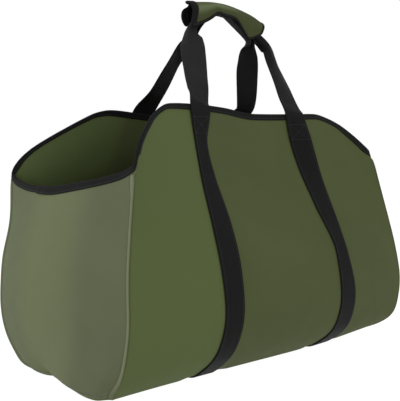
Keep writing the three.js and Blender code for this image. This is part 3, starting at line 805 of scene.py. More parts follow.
def weave_height(tree, flat, across, along):
    """Height of a plain weave with its threads that far apart across and along the cloth."""
    stretch = node(tree, "ShaderNodeMapping", in_Scale=(1 / across, 1 / along, 1))
    tree.links.new(flat.outputs["Vector"], stretch.inputs["Vector"])
    waves = [node(tree, "ShaderNodeTexWave", bands_direction=axis, in_Scale=WAVE_SCALE) for axis in "XY"]
    checks = node(tree, "ShaderNodeTexChecker", in_Scale=1.0)
    weave = node(tree, "ShaderNodeMix", data_type="FLOAT")
    for texture in (*waves, checks):
        tree.links.new(stretch.outputs["Vector"], texture.inputs["Vector"])
    tree.links.new(checks.outputs["Fac"], weave.inputs["Factor"])
    tree.links.new(waves[0].outputs["Fac"], weave.inputs["A"])
    tree.links.new(waves[1].outputs["Fac"], weave.inputs["B"])
    return weave.outputs["Result"]


def noise(tree, flat, scale, detail=3.0, roughness=0.55):
    made = node(tree, "ShaderNodeTexNoise", in_Scale=scale, in_Detail=detail, in_Roughness=roughness)
    tree.links.new(flat.outputs["Vector"], made.inputs["Vector"])
    return made.outputs["Fac"]


def spread(tree, value, low, high):
    """A value of about a quarter to three quarters, mapped to a range."""
    least, most = NOISE_RANGE
    limits = {"in_From_Min": least, "in_From_Max": most, "in_To_Min": low, "in_To_Max": high}
    made = node(tree, "ShaderNodeMapRange", **limits)
    tree.links.new(value, made.inputs["Value"])
    return made.outputs["Result"]


def tinted(tree, colour, factor):
    """A colour times a factor from nodes."""
    made = node(tree, "ShaderNodeMix", data_type="RGBA", blend_type="MULTIPLY")
    made.inputs["Factor"].default_value = 1.0
    if isinstance(colour, bpy.types.NodeSocket):
        tree.links.new(colour, made.inputs[MIX_FIRST])
    else:
        made.inputs[MIX_FIRST].default_value = (*colour, 1)
    tree.links.new(factor, made.inputs[MIX_SECOND])
    return made.outputs[MIX_RESULT]


def lightened(tree, colour, light, factor):
    """A colour that goes towards a lighter one by a factor from nodes."""
    made = node(tree, "ShaderNodeMix", data_type="RGBA")
    tree.links.new(colour, made.inputs[MIX_FIRST])
    made.inputs[MIX_SECOND].default_value = (*light, 1)
    tree.links.new(factor, made.inputs["Factor"])
    return made.outputs[MIX_RESULT]


def bumped(tree, shader, height, distance, strength):
    made = node(tree, "ShaderNodeBump", in_Distance=distance, in_Strength=strength)
    tree.links.new(height, made.inputs["Height"])
    tree.links.new(made.outputs["Normal"], shader.inputs["Normal"])


def ribbed(tree, height, low, high):
    """A factor from low in the hollows of a weave or twist to high on its ribs."""
    made = node(tree, "ShaderNodeMapRange", in_To_Min=low, in_To_Max=high)
    tree.links.new(height, made.inputs["Value"])
    return made.outputs["Result"]


def painted(tree, shader, shade, pale):
    """Gives a shader its colour, which goes towards a pale one by a share in the mesh: painted light and
    highlights, and on the seams also rubbing.
    """
    lit_and_worn = node(tree, "ShaderNodeAttribute", attribute_name="wear")
    tree.links.new(lightened(tree, shade, pale, lit_and_worn.outputs["Fac"]), shader.inputs["Base Color"])
    shader.inputs["Specular IOR Level"].default_value = GLOSS


def canvas_finish(name, colour, thread, pale):
    """Coated olive canvas: plain weave, flecked threads, slow shade changes, and paler where light and
    highlights are painted in and where the seams are rubbed.
    """
    material, tree, shader, flat = start_material(name)
    weave = weave_height(tree, flat, thread, thread)
    scale, *shades = CANVAS["slow"]
    slow = spread(tree, noise(tree, flat, scale), *shades)
    scale, *shades = CANVAS["fleck"]
    fleck = spread(tree, noise(tree, flat, scale, detail=1.0), *shades)
    painted(tree, shader, tinted(tree, tinted(tree, tuple(colour), slow), fleck), pale)
    scale, *limits = CANVAS["rough"]
    tree.links.new(spread(tree, noise(tree, flat, scale), *limits), shader.inputs["Roughness"])
    bumped(tree, shader, weave, CANVAS_WEAVE["depth"], CANVAS_WEAVE["strength"])
    return material


def black_finish(name, colour, kind):
    """Black woven tape, webbing or lining with ribs across and along it."""
    weave = BLACK_WEAVES[kind]
    material, tree, shader, flat = start_material(name)
    height = weave_height(tree, flat, weave["across"], weave["along"])
    scale, *shades = BLACK["slow"]
    slow = spread(tree, noise(tree, flat, scale), *shades)
    shade = tinted(tree, tinted(tree, tuple(colour), slow), ribbed(tree, height, *BLACK["rib"]))
    # Painted light: the webbing goes towards a grey where a painted share is set, on the free handles.
    painted(tree, shader, shade, [mix(c, BLACK_PAINTED_LIGHT["grey"], BLACK_PAINTED_LIGHT["share"]) for c in colour])
    low, high = weave["rough"] - BLACK["rough_spread"], weave["rough"] + BLACK["rough_spread"]
    rough = spread(tree, noise(tree, flat, BLACK["rough_scale"]), low, high)
    tree.links.new(rough, shader.inputs["Roughness"])
    bumped(tree, shader, height, weave["depth"], BLACK_WEAVE_STRENGTH)
    return material


def thread_finish(name, colour):
    """Twisted sewing thread."""
    material, tree, shader, flat = start_material(name)
    twist = node(tree, "ShaderNodeTexWave", bands_direction="DIAGONAL", in_Scale=THREAD["scale"])
    tree.links.new(flat.outputs["Vector"], twist.inputs["Vector"])
    shade = tinted(tree, tuple(colour), ribbed(tree, twist.outputs["Fac"], *THREAD["shade"]))
    tree.links.new(shade, shader.inputs["Base Color"])
    bumped(tree, shader, twist.outputs["Fac"], THREAD["depth"], THREAD["strength"])
    shader.inputs["Roughness"].default_value = THREAD["rough"]
    return material


class CARRIER_OT_panel(bpy.types.Operator):
    """Make the one cloth that is the front, the base and the back"""

    bl_idname = "carrier.panel"
    bl_label = "Main panel"

    def execute(self, context):
        cloth = context.scene.carrier_cloth
        finish = canvas_finish("face canvas", cloth.face_colour, cloth.thread, cloth.lit_colour)
        along = np.linspace(-1, 1, PANEL_COLUMNS)
        base = np.linspace(0, 1, BASE_ROWS, endpoint=False)
        face = np.linspace(1, RIM_FOLLOW_ROW, FACE_ROWS, endpoint=False)
        fixed = np.repeat(np.concatenate([base, face])[:, None], PANEL_COLUMNS, axis=1)
        rows, sides = [], []
        for side in SIDES.values():
            follow = mix(RIM_FOLLOW_ROW, rim_row(along, side)[None], np.linspace(0, 1, RIM_ROWS)[:, None])
            rows.append(np.concatenate([fixed, follow]))
            sides.append(np.full(rows[-1].shape, side))
        row = np.concatenate([rows[0][:0:-1], rows[1]])
        side = np.concatenate([sides[0][:0:-1], sides[1]])
        thick = cloth.thickness / MM
        reach = np.where(along < 0, LEVEL["left"](row), LEVEL["right"](row))
        top = np.where(side < 0, rim_height(along, -1), rim_height(along, 1))
        near_rim = smooth(clamp01(1 - (top - LEVEL["height"](row)) / CORNER_TUCK_HEIGHT))
        tucked = CORNER_TUCK * near_rim * np.abs(along) ** CORNER_TUCK_POWER
        outer = panel(along * (1 - tucked / reach), row, side)
        normals = -grid_normals(outer)
        middle = outer - normals * thick / 2
        place = along * reach
        strap = strap_centre("left", "front", LEVEL["height"](row))
        # Painted light: the cloth left of the left strap goes towards the lit olive.
        lit = 1 - smooth(clamp01((place - strap) / LIT_EDGE + 0.5))
        flipped = middle[:, ::-1]
        piece = sheet_piece("main_panel_cloth", flipped, thick, [finish], wear=lit[:, ::-1])
        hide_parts("main_panel")
        return {"FINISHED"}


class CARRIER_OT_ends(bpy.types.Operator):
    """Make the two end walls"""

    bl_idname = "carrier.ends"
    bl_label = "End panels"

    def execute(self, context):
        cloth = context.scene.carrier_cloth
        finish = canvas_finish("end canvas", cloth.end_colour, cloth.thread, cloth.end_lit_colour)
        thick = cloth.thickness / MM
        across = np.linspace(-1, 1, END_COLUMNS)
        # Painted light: the ends go towards the lit olive across their middle.
        lit = clamp01(curve(END_PAINTED_LIGHT["tone"], END_PAINTED_LIGHT["across"])(across))
        face = np.linspace(1, END_FOLLOW_ROW, FACE_ROWS, endpoint=False)
        fixed = np.repeat(face[:, None], END_COLUMNS, axis=1)
        for end, sign in ENDS.items():
            top = end_row_at(end, end_rim_height(end, across), thick)
            follow = mix(END_FOLLOW_ROW, top[None], np.linspace(0, 1, RIM_ROWS)[:, None])
            row = np.concatenate([fixed, follow])
            outer = end_panel(end, across[None], row, 0, thick)
            outer = outer[:, ::sign]
            middle = outer - grid_normals(outer) * thick / 2
            tone = np.broadcast_to(lit[::sign], row.shape)
            piece = sheet_piece(f"end_panel_{end}_cloth", middle, thick, [finish], wear=tone)
            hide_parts(f"end_panel_{end}")
        return {"FINISHED"}


def path_through(points, count):
    """Centripetal curve through points, with its place in rows, at even steps between rows."""
    points = np.array(points, float)
    full = np.concatenate([2 * points[:1] - points[1:2], points, 2 * points[-1:] - points[-2:-1]])
    knots = np.linalg.norm(np.diff(full, axis=0), axis=1) ** 0.5
    rows = np.linspace(0, len(points) - 1, count)
    i = np.minimum(rows.astype(int), len(points) - 2)
    k = (rows - i)[:, None]
    before, here, there, after = (full[i + n] for n in range(4))
    t0, t1, t2 = (knots[i + n][:, None] for n in range(3))
    leave = ((here - before) / t0 - (there - before) / (t0 + t1) + (there - here) / t1) * t1
    arrive = ((there - here) / t1 - (after - here) / (t1 + t2) + (after - there) / t2) * t1
    line = here + leave * k * (1 - k) ** 2 + (there - here) * smooth(k) - arrive * k * k * (1 - k)
    return line, rows


def strap_leg(end, side, trim):
    """Middle surface of one strap on one face of the bag, from under the base up to the rim."""
    width, thick = trim.webbing_width / MM, trim.webbing_thickness / MM
    face = "front" if side < 0 else "back"

    def centre(row):
        return strap_centre(end, face, LEVEL["height"](row))

    at_rim = centre(RIM_FOLLOW_ROW) / LEVEL[end](RIM_FOLLOW_ROW)
    top = float(rim_row(at_rim, side))
    start = STRAP_GAP_UNDER / LEVELS["front"][BASE_EDGE_ROW]
    rows = even_rows(lambda r: panel(centre(r) / LEVEL[end](r), r, side), start, top, BAND_STEP)
    height = LEVEL["height"](rows)
    highest = STRAP_TUCKS[end]["height"][-1]
    tuck = TUCK_AT[end](np.clip(height, 0, highest)) if side < 0 else np.zeros(len(rows))
    low = -width / 2 + (tuck if end == "right" else 0)
    high = width / 2 - (tuck if end == "left" else 0)
    share = np.linspace(0, 1, STRAP_SECTION)
    offset = np.asarray(low)[..., None] * (1 - share) + np.asarray(high)[..., None] * share
    offset = np.broadcast_to(offset, (len(rows), STRAP_SECTION))
    along = (centre(rows)[:, None] + offset) / LEVEL[end](rows)[:, None]
    below = LEVEL["height"](top) - height
    climb = (below - trim.face_drop / MM - STRAP_CLIMB["under"]) / STRAP_CLIMB["length"]
    over = 1 - smooth(clamp01(climb))
    gap = mix(STRAP_GAP_UNDER, STRAP_GAP, smooth(clamp01(height / STRAP_GAP_GROW)))
    off = mix(gap, TAPE_GAP + trim.tape_thickness / MM + STRAP_OVER_TAPE, over) + thick / 2
    lap = (below - STRAP_LAP["down"]) / STRAP_LAP["length"]
    lap = np.where(lap < 0, lap / STRAP_LAP["longer"], lap)
    off = off + STRAP_LAP["height"] * np.exp(-lap ** 2)
    return panel_off(along, rows[:, None], side, off[:, None])


def folded_section(width, centre, fold):
    """Places across and back of a webbing whose two edges fold back by an angle in degrees."""
    place = np.linspace(-width / 2, width / 2, STRAP_SECTION)
    fine = np.linspace(0, width / 2, FOLD_SAMPLES)
    bend = np.radians(fold) * smooth(clamp01((fine - centre / 2 + FOLD_ARC / 2) / FOLD_ARC))
    step = fine[1] - fine[0]
    aside = np.concatenate([[0], np.cumsum(np.cos(bend[:-1]) * step)])
    back = np.concatenate([[0], np.cumsum(np.sin(bend[:-1]) * step)])
    return np.sign(place) * np.interp(np.abs(place), fine, aside), np.interp(np.abs(place), fine, back)


def handle(name, first, last, trim):
    """Middle surface of a free handle between the tops of its two legs."""
    side = SIDES[name]
    width = trim.webbing_width / MM

    def leaving(leg):
        rim, below = leg[-1].mean(axis=0), leg[-2].mean(axis=0)
        out = np.cross(leg[-1, -1] - leg[-1, 0], rim - below)
        out = out * side * np.sign(out[1])
        turn = math.degrees(math.atan2(out[0], side * out[1]))
        return [(*rim, 0, turn), (*(rim + unit(rim - below) * RIM_CLEARANCE), 0, turn)]

    rows = [*leaving(first), *HANDLES[name], *leaving(last)[::-1]]
    table = {key: [row[i] for row in rows] for i, key in enumerate(HANDLE_COLUMNS)}
    points = np.array([row[:3] for row in rows], float)
    length = np.linalg.norm(np.diff(points, axis=0), axis=1).sum()
    line, place = path_through(points, int(length / BAND_STEP))
    fold, turn = curve(table["fold"])(place), np.radians(curve(table["turn"])(place))
    ahead = unit(np.gradient(line, axis=0))
    face = np.stack([np.sin(turn), side * np.cos(turn), np.zeros(len(turn))], axis=1)
    face = unit(face - ahead * (face * ahead).sum(axis=1, keepdims=True))
    across = unit(np.cross(ahead, face)) * -side
    sections = []
    for i in range(len(line)):
        aside, back = folded_section(width, FOLD_CENTRE[name], fold[i])
        sections.append(line[i] + aside[:, None] * across[i] - back[:, None] * face[i])
    return np.array(sections)


def on_grid(grid, row, column):
    """Points between the points of a grid, at places in rows and columns."""
    i = np.clip(row.astype(int), 0, grid.shape[0] - 2)
    j = np.clip(column.astype(int), 0, grid.shape[1] - 2)
    k, m = (row - i)[:, None], (column - j)[:, None]
    return mix(mix(grid[i, j], grid[i + 1, j], k), mix(grid[i, j + 1], grid[i + 1, j + 1], k), m)


def leg_stitches(face, normals, trim):
    """Paths of the stitches on a strap's leg, from the base up: along both edges, then a crossed box."""
    inset = trim.stitch_inset / trim.webbing_width * (STRAP_SECTION - 1)
    left, right = inset, STRAP_SECTION - 1 - inset
    below = face[-1, :, 2].mean() - face[..., 2].mean(axis=1)
    number = np.arange(len(face))
    low, high = (np.interp(-down, -below, number) for down in STITCH_BOX)
    first = np.interp(STITCH_START, face[..., 2].mean(axis=1), number)
    lines = [((first, left), (high, left)), ((first, right), (high, right))]
    lines += [((low, left), (low, right)), ((high, left), (high, right))]
    lines += [((low, left), (high, right)), ((low, right), (high, left))]
    paths = []
    for start, stop in lines:
        place = np.linspace(start, stop, STITCH_SAMPLES)
        paths.append((on_grid(face, *place.T), unit(on_grid(normals, *place.T))))
    return paths


class CARRIER_OT_straps(bpy.types.Operator):
    """Make the two webbing straps that go on as handles"""

    bl_idname = "carrier.straps"
    bl_label = "Straps"

    def execute(self, context):
        trim = context.scene.carrier_trim
        finish = black_finish("webbing", trim.black, "webbing")
        thread = thread_finish("strap thread", trim.black)
        thick = trim.webbing_thickness / MM
        for name, side in SIDES.items():
            up = strap_leg("left", side, trim)
            down = strap_leg("right", side, trim)[:, ::-1]
            loop = handle(name, up, down, trim)
            middle = np.concatenate([up, loop[1:-1], down[::-1]])
            over_rim = RIM_EASE * np.exp(-((middle[..., 2:] - STRAP_TOP_HEIGHT) / RIM_EASE_REACH) ** 2)
            middle = mix(softly(middle, STRAP_PASSES), softly(middle, RIM_EASE_PASSES), over_rim)
            if side > 0:
                middle = middle[:, ::-1]
            # Painted light: the free handles go paler above the rim.
            above = smooth(clamp01((middle[..., 2] - STRAP_TOP_HEIGHT) / HANDLE_PAINTED_LIGHT_GROW))
            pale = HANDLE_PAINTED_LIGHT[name]
            tone = above * np.where(middle[..., 0] < 0, pale["left"], pale["right"])
            piece = sheet_piece(f"strap_{name}_webbing", middle, thick, [finish], wear=tone)
            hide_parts(f"strap_{name}")
            normals = grid_normals(middle)
            face = middle + normals * thick / 2
            rows = leg_stitches(face[:len(up)], normals[:len(up)], trim)
            rows += leg_stitches(face[:-len(down) - 1:-1], normals[:-len(down) - 1:-1], trim)
            stitch_piece(f"strap_{name}_stitches", rows, thread, trim)
        return {"FINISHED"}


def tape_stations(edge, edge_normal, low, low_normal, leave):
    """A stretch of a bound edge: edge and lower line with their normals, and the way off the cloth."""
    return {"edge": edge, "edge_normal": edge_normal, "low": low, "low_normal": low_normal, "leave": leave}


def joined(stretches):
    return {key: np.concatenate([s[key] for s in stretches]) for key in stretches[0]}


def panel_tape(along, side, drop):
    """Tape on the rim of the front or the back, with its lower line square to the rim."""
    d = TAPE_SLOPE_STEP
    row = rim_row(along, side)
    edge, normal = panel(along, row, side), panel_normal(along, row, side)
    ahead, behind = along + d, along - d
    runs = panel(ahead, rim_row(ahead, side), side) - panel(behind, rim_row(behind, side), side)
    leave = unit(np.cross(runs, normal))
    leave = leave * np.sign(leave[:, 2:])
    by_along = (panel(ahead, row, side) - panel(behind, row, side)) / (2 * d)
    by_row = (edge - panel(along, row - d, side)) / d
    low_row = row - drop * (leave * by_row).sum(axis=1) / (by_row ** 2).sum(axis=1)
    low_along = along - drop * (leave * by_along).sum(axis=1) / (by_along ** 2).sum(axis=1)
    low, low_normal = panel(low_along, low_row, side), panel_normal(low_along, low_row, side)
    return tape_stations(edge, normal, low, low_normal, leave)


def end_tape(end, across, drop, cloth):
    """Tape on the rim of an end."""
    top = end_rim_height(end, across)
    edge = end_panel(end, across, end_row_at(end, top, cloth), 0, cloth)
    low = end_panel(end, across, end_row_at(end, top - drop, cloth), 0, cloth)
    out = np.broadcast_to((float(ENDS[end]), 0.0, 0.0), edge.shape)
    return tape_stations(edge, out, low, out, unit(edge - low))


def corner_tape(end, side, drop, forward):
    """Tape that turns the corner between a face and an end in a rounded fan."""
    along = float(ENDS[end])
    row = rim_row(along, side)
    low_row = row_at(LEVEL["height"](row) - drop)
    edge, low = panel(along, row, side), panel(along, low_row, side)
    face, out = panel_normal(along, row, np.array(side)), np.array((along, 0.0, 0.0))
    turn = np.linspace(0, math.pi / 2, CORNER_FAN)[:, None]
    fan = unit(face * np.cos(turn) + out * np.sin(turn))
    if not forward:
        fan = fan[::-1]
    spread_to = (CORNER_FAN, 3)
    leave = np.broadcast_to(unit(edge - low), spread_to)
    return tape_stations(np.broadcast_to(edge, spread_to), fan, np.broadcast_to(low, spread_to), fan, leave)


def tape_grid(stations, cloth, gap, tape):
    """Middle surface and normals of a tape folded over a cloth edge."""
    off = gap + tape / 2
    leg = np.linspace(0, 1, TAPE_LEG)[None, :, None]
    turn = np.linspace(0, math.pi, TAPE_FOLD)[None, 1:-1, None]
    edge, low, leave = (stations[key][:, None] for key in ("edge", "low", "leave"))
    edge_normal, low_normal = stations["edge_normal"][:, None], stations["low_normal"][:, None]
    leg_normal = unit(mix(low_normal, edge_normal, leg))
    outer = mix(low, edge, leg) + leg_normal * off
    inner = (mix(low, edge, leg) - leg_normal * (cloth + off))[:, ::-1]
    fold_normal = edge_normal * np.cos(turn) + leave * np.sin(turn)
    fold = edge - edge_normal * cloth / 2 + fold_normal * (cloth / 2 + off)
    middle = np.concatenate([outer, fold, inner], axis=1)
    return middle, np.concatenate([leg_normal, fold_normal, -leg_normal[:, ::-1]], axis=1)


def tape_piece(name, stations, cloth, passes, trim, finish, thread, inset):
    """A bound edge with its two rows of stitches, its corners rounded by so many passes."""
    tape = trim.tape_thickness / MM
    middle, normals = tape_grid(stations, cloth, TAPE_GAP, tape)
    run = run_length(middle, 0).mean(axis=1)
    middle, normals = evened(middle, run, TAPE_STEP), evened(normals, run, TAPE_STEP)
    middle, normals = softly(middle, passes), unit(softly(normals, passes))
    facing = (grid_normals(middle) * normals).sum()
    order = slice(None, None, 1 if facing > 0 else -1)
    piece = sheet_piece(name, middle[:, order], tape, [finish], normals[:, order])
    rows = []
    for first, second in ((0, 1), (-1, -2)):
        share = inset / np.linalg.norm(middle[:, second] - middle[:, first], axis=1, keepdims=True)
        line = mix(middle[:, first], middle[:, second], share) + normals[:, first] * tape / 2
        rows.append((line, normals[:, first]))
    stitch_piece(f"{name}_stitches", rows, thread, trim)
    return piece, middle


class CARRIER_OT_rim(bpy.types.Operator):
    """Make the tape that binds the whole rim, lapped on the left end"""

    bl_idname = "carrier.rim"
    bl_label = "Rim tape"

    def execute(self, context):
        cloth, trim = context.scene.carrier_cloth.thickness / MM, context.scene.carrier_trim
        drop, end_drop = trim.face_drop / MM, trim.end_drop / MM
        corner_drop = (drop + end_drop) / 2
        finish = black_finish("edge tape", trim.black, "tape")
        thread = thread_finish("black thread", trim.black)
        along = np.linspace(-1 + CORNER_MARGIN, 1 - CORNER_MARGIN, RIM_STATIONS)
        across = np.linspace(-1 + CORNER_MARGIN, 1 - CORNER_MARGIN, END_STATIONS)
        before, after = across[across <= LAP_PLACE][::-1], across[across >= LAP_PLACE - LAP_SHARE][::-1]
        stations = joined([
            end_tape("left", before, LEFT_TAPE_DROP(before), cloth),
            corner_tape("left", -1, corner_drop, False),
            panel_tape(along, -1, drop * FRONT_TAPE_SHARE(along)),
            corner_tape("right", -1, corner_drop, True),
            end_tape("right", across, end_drop, cloth),
            corner_tape("right", 1, corner_drop, False),
            panel_tape(along[::-1], 1, drop),
            corner_tape("left", 1, corner_drop, True),
            end_tape("left", after, LEFT_TAPE_DROP(after), cloth),
        ])
        run = run_length(stations["edge"], 0)
        lift = LAP_LIFT * (1 - smooth(clamp01((run - LAP_LENGTH) / LAP_LENGTH)))[:, None]
        for part in ("edge", "low"):
            stations[part] = stations[part] + stations[f"{part}_normal"] * lift
        stations["low"] = stations["low"] - stations["leave"] * lift
        piece, middle = tape_piece(
            "rim_tape", stations, cloth, RIM_PASSES, trim, finish, thread, RIM_STITCH_INSET)
        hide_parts("rim_binding")
        return {"FINISHED"}


GRIP_ROW = {key: softened(curve(values)) for key, values in GRIP.items()}
GRIP_LAST = len(GRIP["x"]) - 1


def grip_wrap(along, around, out):
    """Points of the grip wrap: along its arch 0 to 1, around it -1 near edge to 1 far edge."""
    along, around = np.broadcast_arrays(np.asarray(along, float), np.asarray(around, float))
    row = along * GRIP_LAST
    d = GRIP_STEP
    x, z, half, near, far, slant, square = (GRIP_ROW[key](row) for key in GRIP)
    drop = np.where(around < 0, near, far)
    run = GRIP_ROW["x"](row + d) - GRIP_ROW["x"](row - d)
    rise = GRIP_ROW["z"](row + d) - GRIP_ROW["z"](row - d)
    ahead = unit(np.stack([run, np.zeros_like(run), rise], axis=-1))
    up = np.stack([-ahead[..., 2], np.zeros_like(run), ahead[..., 0]], axis=-1)
    arc = half * math.pi / 2
    reach = np.abs(around) * (arc + drop)
    hang = np.maximum(0, reach - arc)
    angle = np.minimum(reach / half, math.pi / 2)
    from_end = x - GRIP["x"][0]
    curl = np.exp(-((around - EAR["around"]) / EAR["spread"]) ** 2 - (from_end / EAR["reach"]) ** 2)
    side = (half + out) * np.sin(angle) ** square
    lift = (half + out) * np.cos(angle) ** square + EAR["up"] * curl - hang
    point = np.stack([x, GRIP_Y + np.sign(around) * side, z], axis=-1) + up * lift[..., None]
    level = np.clip((point[..., 2] - FAR_ROUND["height"]) / FAR_ROUND["half"], -1, 1)
    behind = smooth(clamp01((around - FAR_ROUND["start"]) / FAR_ROUND["spread"]))
    near_end = np.exp(-(from_end / FAR_ROUND["reach"]) ** 2)
    cut = FAR_ROUND["deep"] * (1 - np.sqrt(1 - level ** 2)) * behind * near_end
    point[..., 0] += cut - np.where(around < 0, slant * hang, 0)
    return point


def grip_tape(along, around, in_along, in_around, drop):
    """Tape on one edge of the grip wrap, with the way in along the arch and around it."""
    d = TAPE_SLOPE_STEP
    along, around = np.broadcast_arrays(np.asarray(along, float), np.asarray(around, float))

    def outward(a, b):
        return unit(grip_wrap(a, b, 1) - grip_wrap(a, b, 0))

    edge = grip_wrap(along, around, 0)
    by_along = np.linalg.norm(grip_wrap(along + in_along * d, around, 0) - edge, axis=-1) / d
    by_around = np.linalg.norm(grip_wrap(along, around + in_around * d, 0) - edge, axis=-1) / d
    low_along = along + in_along * drop / np.maximum(by_along, 1)
    low_around = around + in_around * drop / np.maximum(by_around, 1)
    low = grip_wrap(low_along, low_around, 0)
    return tape_stations(edge, outward(along, around), low, outward(low_along, low_around), unit(edge - low))


class CARRIER_OT_grip(bpy.types.Operator):
    """Make the cloth wrap that gathers the handles, with its bound edges"""

    bl_idname = "carrier.grip"
    bl_label = "Grip wrap"

    def execute(self, context):
        cloth, trim = context.scene.carrier_cloth, context.scene.carrier_trim
        thick = cloth.thickness / MM
        edge_drop, end_drop = trim.grip_edge_drop / MM, trim.grip_end_drop / MM
        canvas = canvas_finish("grip canvas", cloth.grip_colour, cloth.thread, cloth.grip_lit_colour)
        lining = black_finish("grip lining", trim.black, "lining")
        finish = black_finish("grip tape", trim.black, "tape")
        thread = thread_finish("grip thread", trim.black)
        along = np.linspace(0, 1, GRIP_GRID[0])
        around = np.linspace(-1, 1, GRIP_GRID[1])
        middle = grip_wrap(along[None], around[:, None], -thick / 2)
        facing = (grid_normals(middle)[:, :, 2] * (np.abs(around) < GRIP_TOP)[:, None]).sum()
        order = slice(None, None, 1 if facing > 0 else -1)
        middle = middle[:, order]
        # Painted highlight: the wrap's shoulder goes towards the lit olive.
        top = np.exp(-((around - GRIP_LIT["around"]) / GRIP_LIT["spread"]) ** 2)[:, None]
        fade = smooth(clamp01((along - GRIP_LIT["from"]) / GRIP_LIT["over"]))
        tone = top * mix(1, GRIP_LIT["right"], fade)
        piece = sheet_piece(
            "grip_wrap_cloth", middle, thick, [canvas, lining], wear=tone[:, order])
        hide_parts("grip_wrap")
        a, b = along[1:-1], around[1:-1]
        stations = joined([
            grip_tape(a, -1, 0, 1, edge_drop),
            grip_tape([1], [-1], -1, 1, edge_drop),
            grip_tape(1, b, -1, 0, edge_drop),
            grip_tape([1], [1], -1, -1, edge_drop),
            grip_tape(a[::-1], 1, 0, -1, edge_drop),
            grip_tape([0], [1], 1, -1, edge_drop),
            grip_tape(0, b[::-1], 1, 0, end_drop),
            grip_tape([0], [-1], 1, 1, edge_drop),
            grip_tape(a[:2], -1, 0, 1, edge_drop),
        ])
        piece, middle = tape_piece(
            "grip_tape", stations, thick, GRIP_PASSES, trim, finish, thread, GRIP_STITCH_INSET)
        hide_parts("grip_binding")
        return {"FINISHED"}


def seam_ridge(end, cloth):
    """Sections of the seam that stands up where an end is sewn to the main panel."""
    sign = ENDS[end]
    parts = []
    for side in SIDES.values():
        top = float(row_at(rim_height(float(sign), side) - SEAM_START))
        rows = even_rows(lambda r, s=side: panel(np.full(len(r), float(sign)), r, s), 0, top, BAND_STEP)
        below = LEVEL["height"](top) - LEVEL["height"](rows)
        parts.append((rows[1:], np.full(len(rows) - 1, side), below[1:]))
    row = np.concatenate([parts[0][0][::-1], parts[1][0]])
    side = np.concatenate([parts[0][1][::-1], parts[1][1]])
    below = np.concatenate([parts[0][2][::-1], parts[1][2]])
    corner = panel(float(sign), row, side)
    face_along = sign * (1 - SEAM_REACH["face"] / LEVEL[end](row))
    face, face_normal = panel(face_along, row, side), panel_normal(face_along, row, side)
    low, high = SEAM_WIDE_ROWS
    upright = smooth(clamp01((row - low) / (high - low))) * (side < 0)
    wide_top = SEAM_TOP["more"] * (1 - smooth(clamp01(below / SEAM_TOP["length"])))
    reach = mix(SEAM_REACH["back"], SEAM_REACH["front"] + wide_top, upright)
    wide = np.maximum(np.abs(seam_line(end, np.maximum(row, 1), 0, cloth, side)[:, 1]), 1)
    across = side * np.where(row < 1, row, 1 - reach / wide)
    foot = BASE_LIFT - BASE_SAG["down"] + cloth + SEAM_GAP
    inset_row = np.where(row < 1, end_row_at(end, foot + reach, cloth), row)
    wall = end_panel(end, across, inset_row, 0, cloth)
    out = np.broadcast_to((float(sign), 0.0, 0.0), wall.shape)
    height = (SEAM_HEIGHT * smooth(clamp01(below / SEAM_GROW)) + SEAM_LEAST)[:, None]
    tips = []
    for turn in np.radians(SEAM_TIP):
        tips.append(corner + unit(out * math.cos(turn) + face_normal * math.sin(turn)) * height)
    end_share, end_height = SEAM_SHOULDER["end"]
    face_share, face_height = SEAM_SHOULDER["face"]
    section = [
        wall + out * SEAM_FOOT["end"],
        mix(wall, corner, end_share) + out * end_height * height,
        *tips,
        mix(face, corner, face_share) + face_normal * face_height * height,
        face + face_normal * SEAM_FOOT["face"],
        corner - (out + face_normal) * SEAM_REACH["face"] * SEAM_ROOT,
    ]
    return np.stack(section, axis=1), wall, out, upright


def band_piece(name, sections, material, wear):
    """A closed band through sections with the same number of corners, capped at both ends."""
    count, corners = sections.shape[:2]
    number = np.arange(count * corners).reshape(count, corners)
    around = np.roll(number, -1, axis=1)
    faces = np.stack([number[:-1], around[:-1], around[1:], number[1:]], axis=-1).reshape(-1, 4)
    volume = (sections[:-1] * np.cross(np.roll(sections, -1, axis=1)[:-1], sections[1:])).sum()
    faces = faces.tolist() + [number[0, ::-1].tolist(), number[-1].tolist()]
    if volume < 0:
        faces = [face[::-1] for face in faces]
    run = np.concatenate([sections[:, :1], np.roll(sections, -1, axis=1)], axis=1)
    girth = run_length(run, 1)[:, :corners]
    flat = np.stack([girth, run_length(sections, 0), np.zeros((count, corners))], axis=-1).reshape(-1, 3)
    return new_piece(name, sections.reshape(-1, 3), faces, [material], flat, wear=wear.ravel())


class CARRIER_OT_seams(bpy.types.Operator):
    """Make the standing seams between the ends and the main panel"""

    bl_idname = "carrier.seams"
    bl_label = "Seams"

    def execute(self, context):
        cloth, trim = context.scene.carrier_cloth, context.scene.carrier_trim
        finish = canvas_finish("seam canvas", cloth.face_colour, cloth.thread, cloth.seam_highlight_colour)
        thread = thread_finish("olive thread", cloth.face_colour)
        for end in ENDS:
            sections, wall, out, upright = seam_ridge(end, cloth.thickness / MM)
            sections = softly(sections, SEAM_PASSES)
            # Painted highlight with some rubbing, strongest along the near upright edge.
            wear = np.array(SEAM_HIGHLIGHT_AND_WEAR) * mix(SEAM_HIGHLIGHT_AND_WEAR_LEAST, 1, upright)[:, None]
            band_piece(f"seam_{end}", sections, finish, wear)
            rows = [(wall + out * SEAM_STITCH_LIFT, out)]
            stitch_piece(f"seam_{end}_stitches", rows, thread, trim)
        return {"FINISHED"}


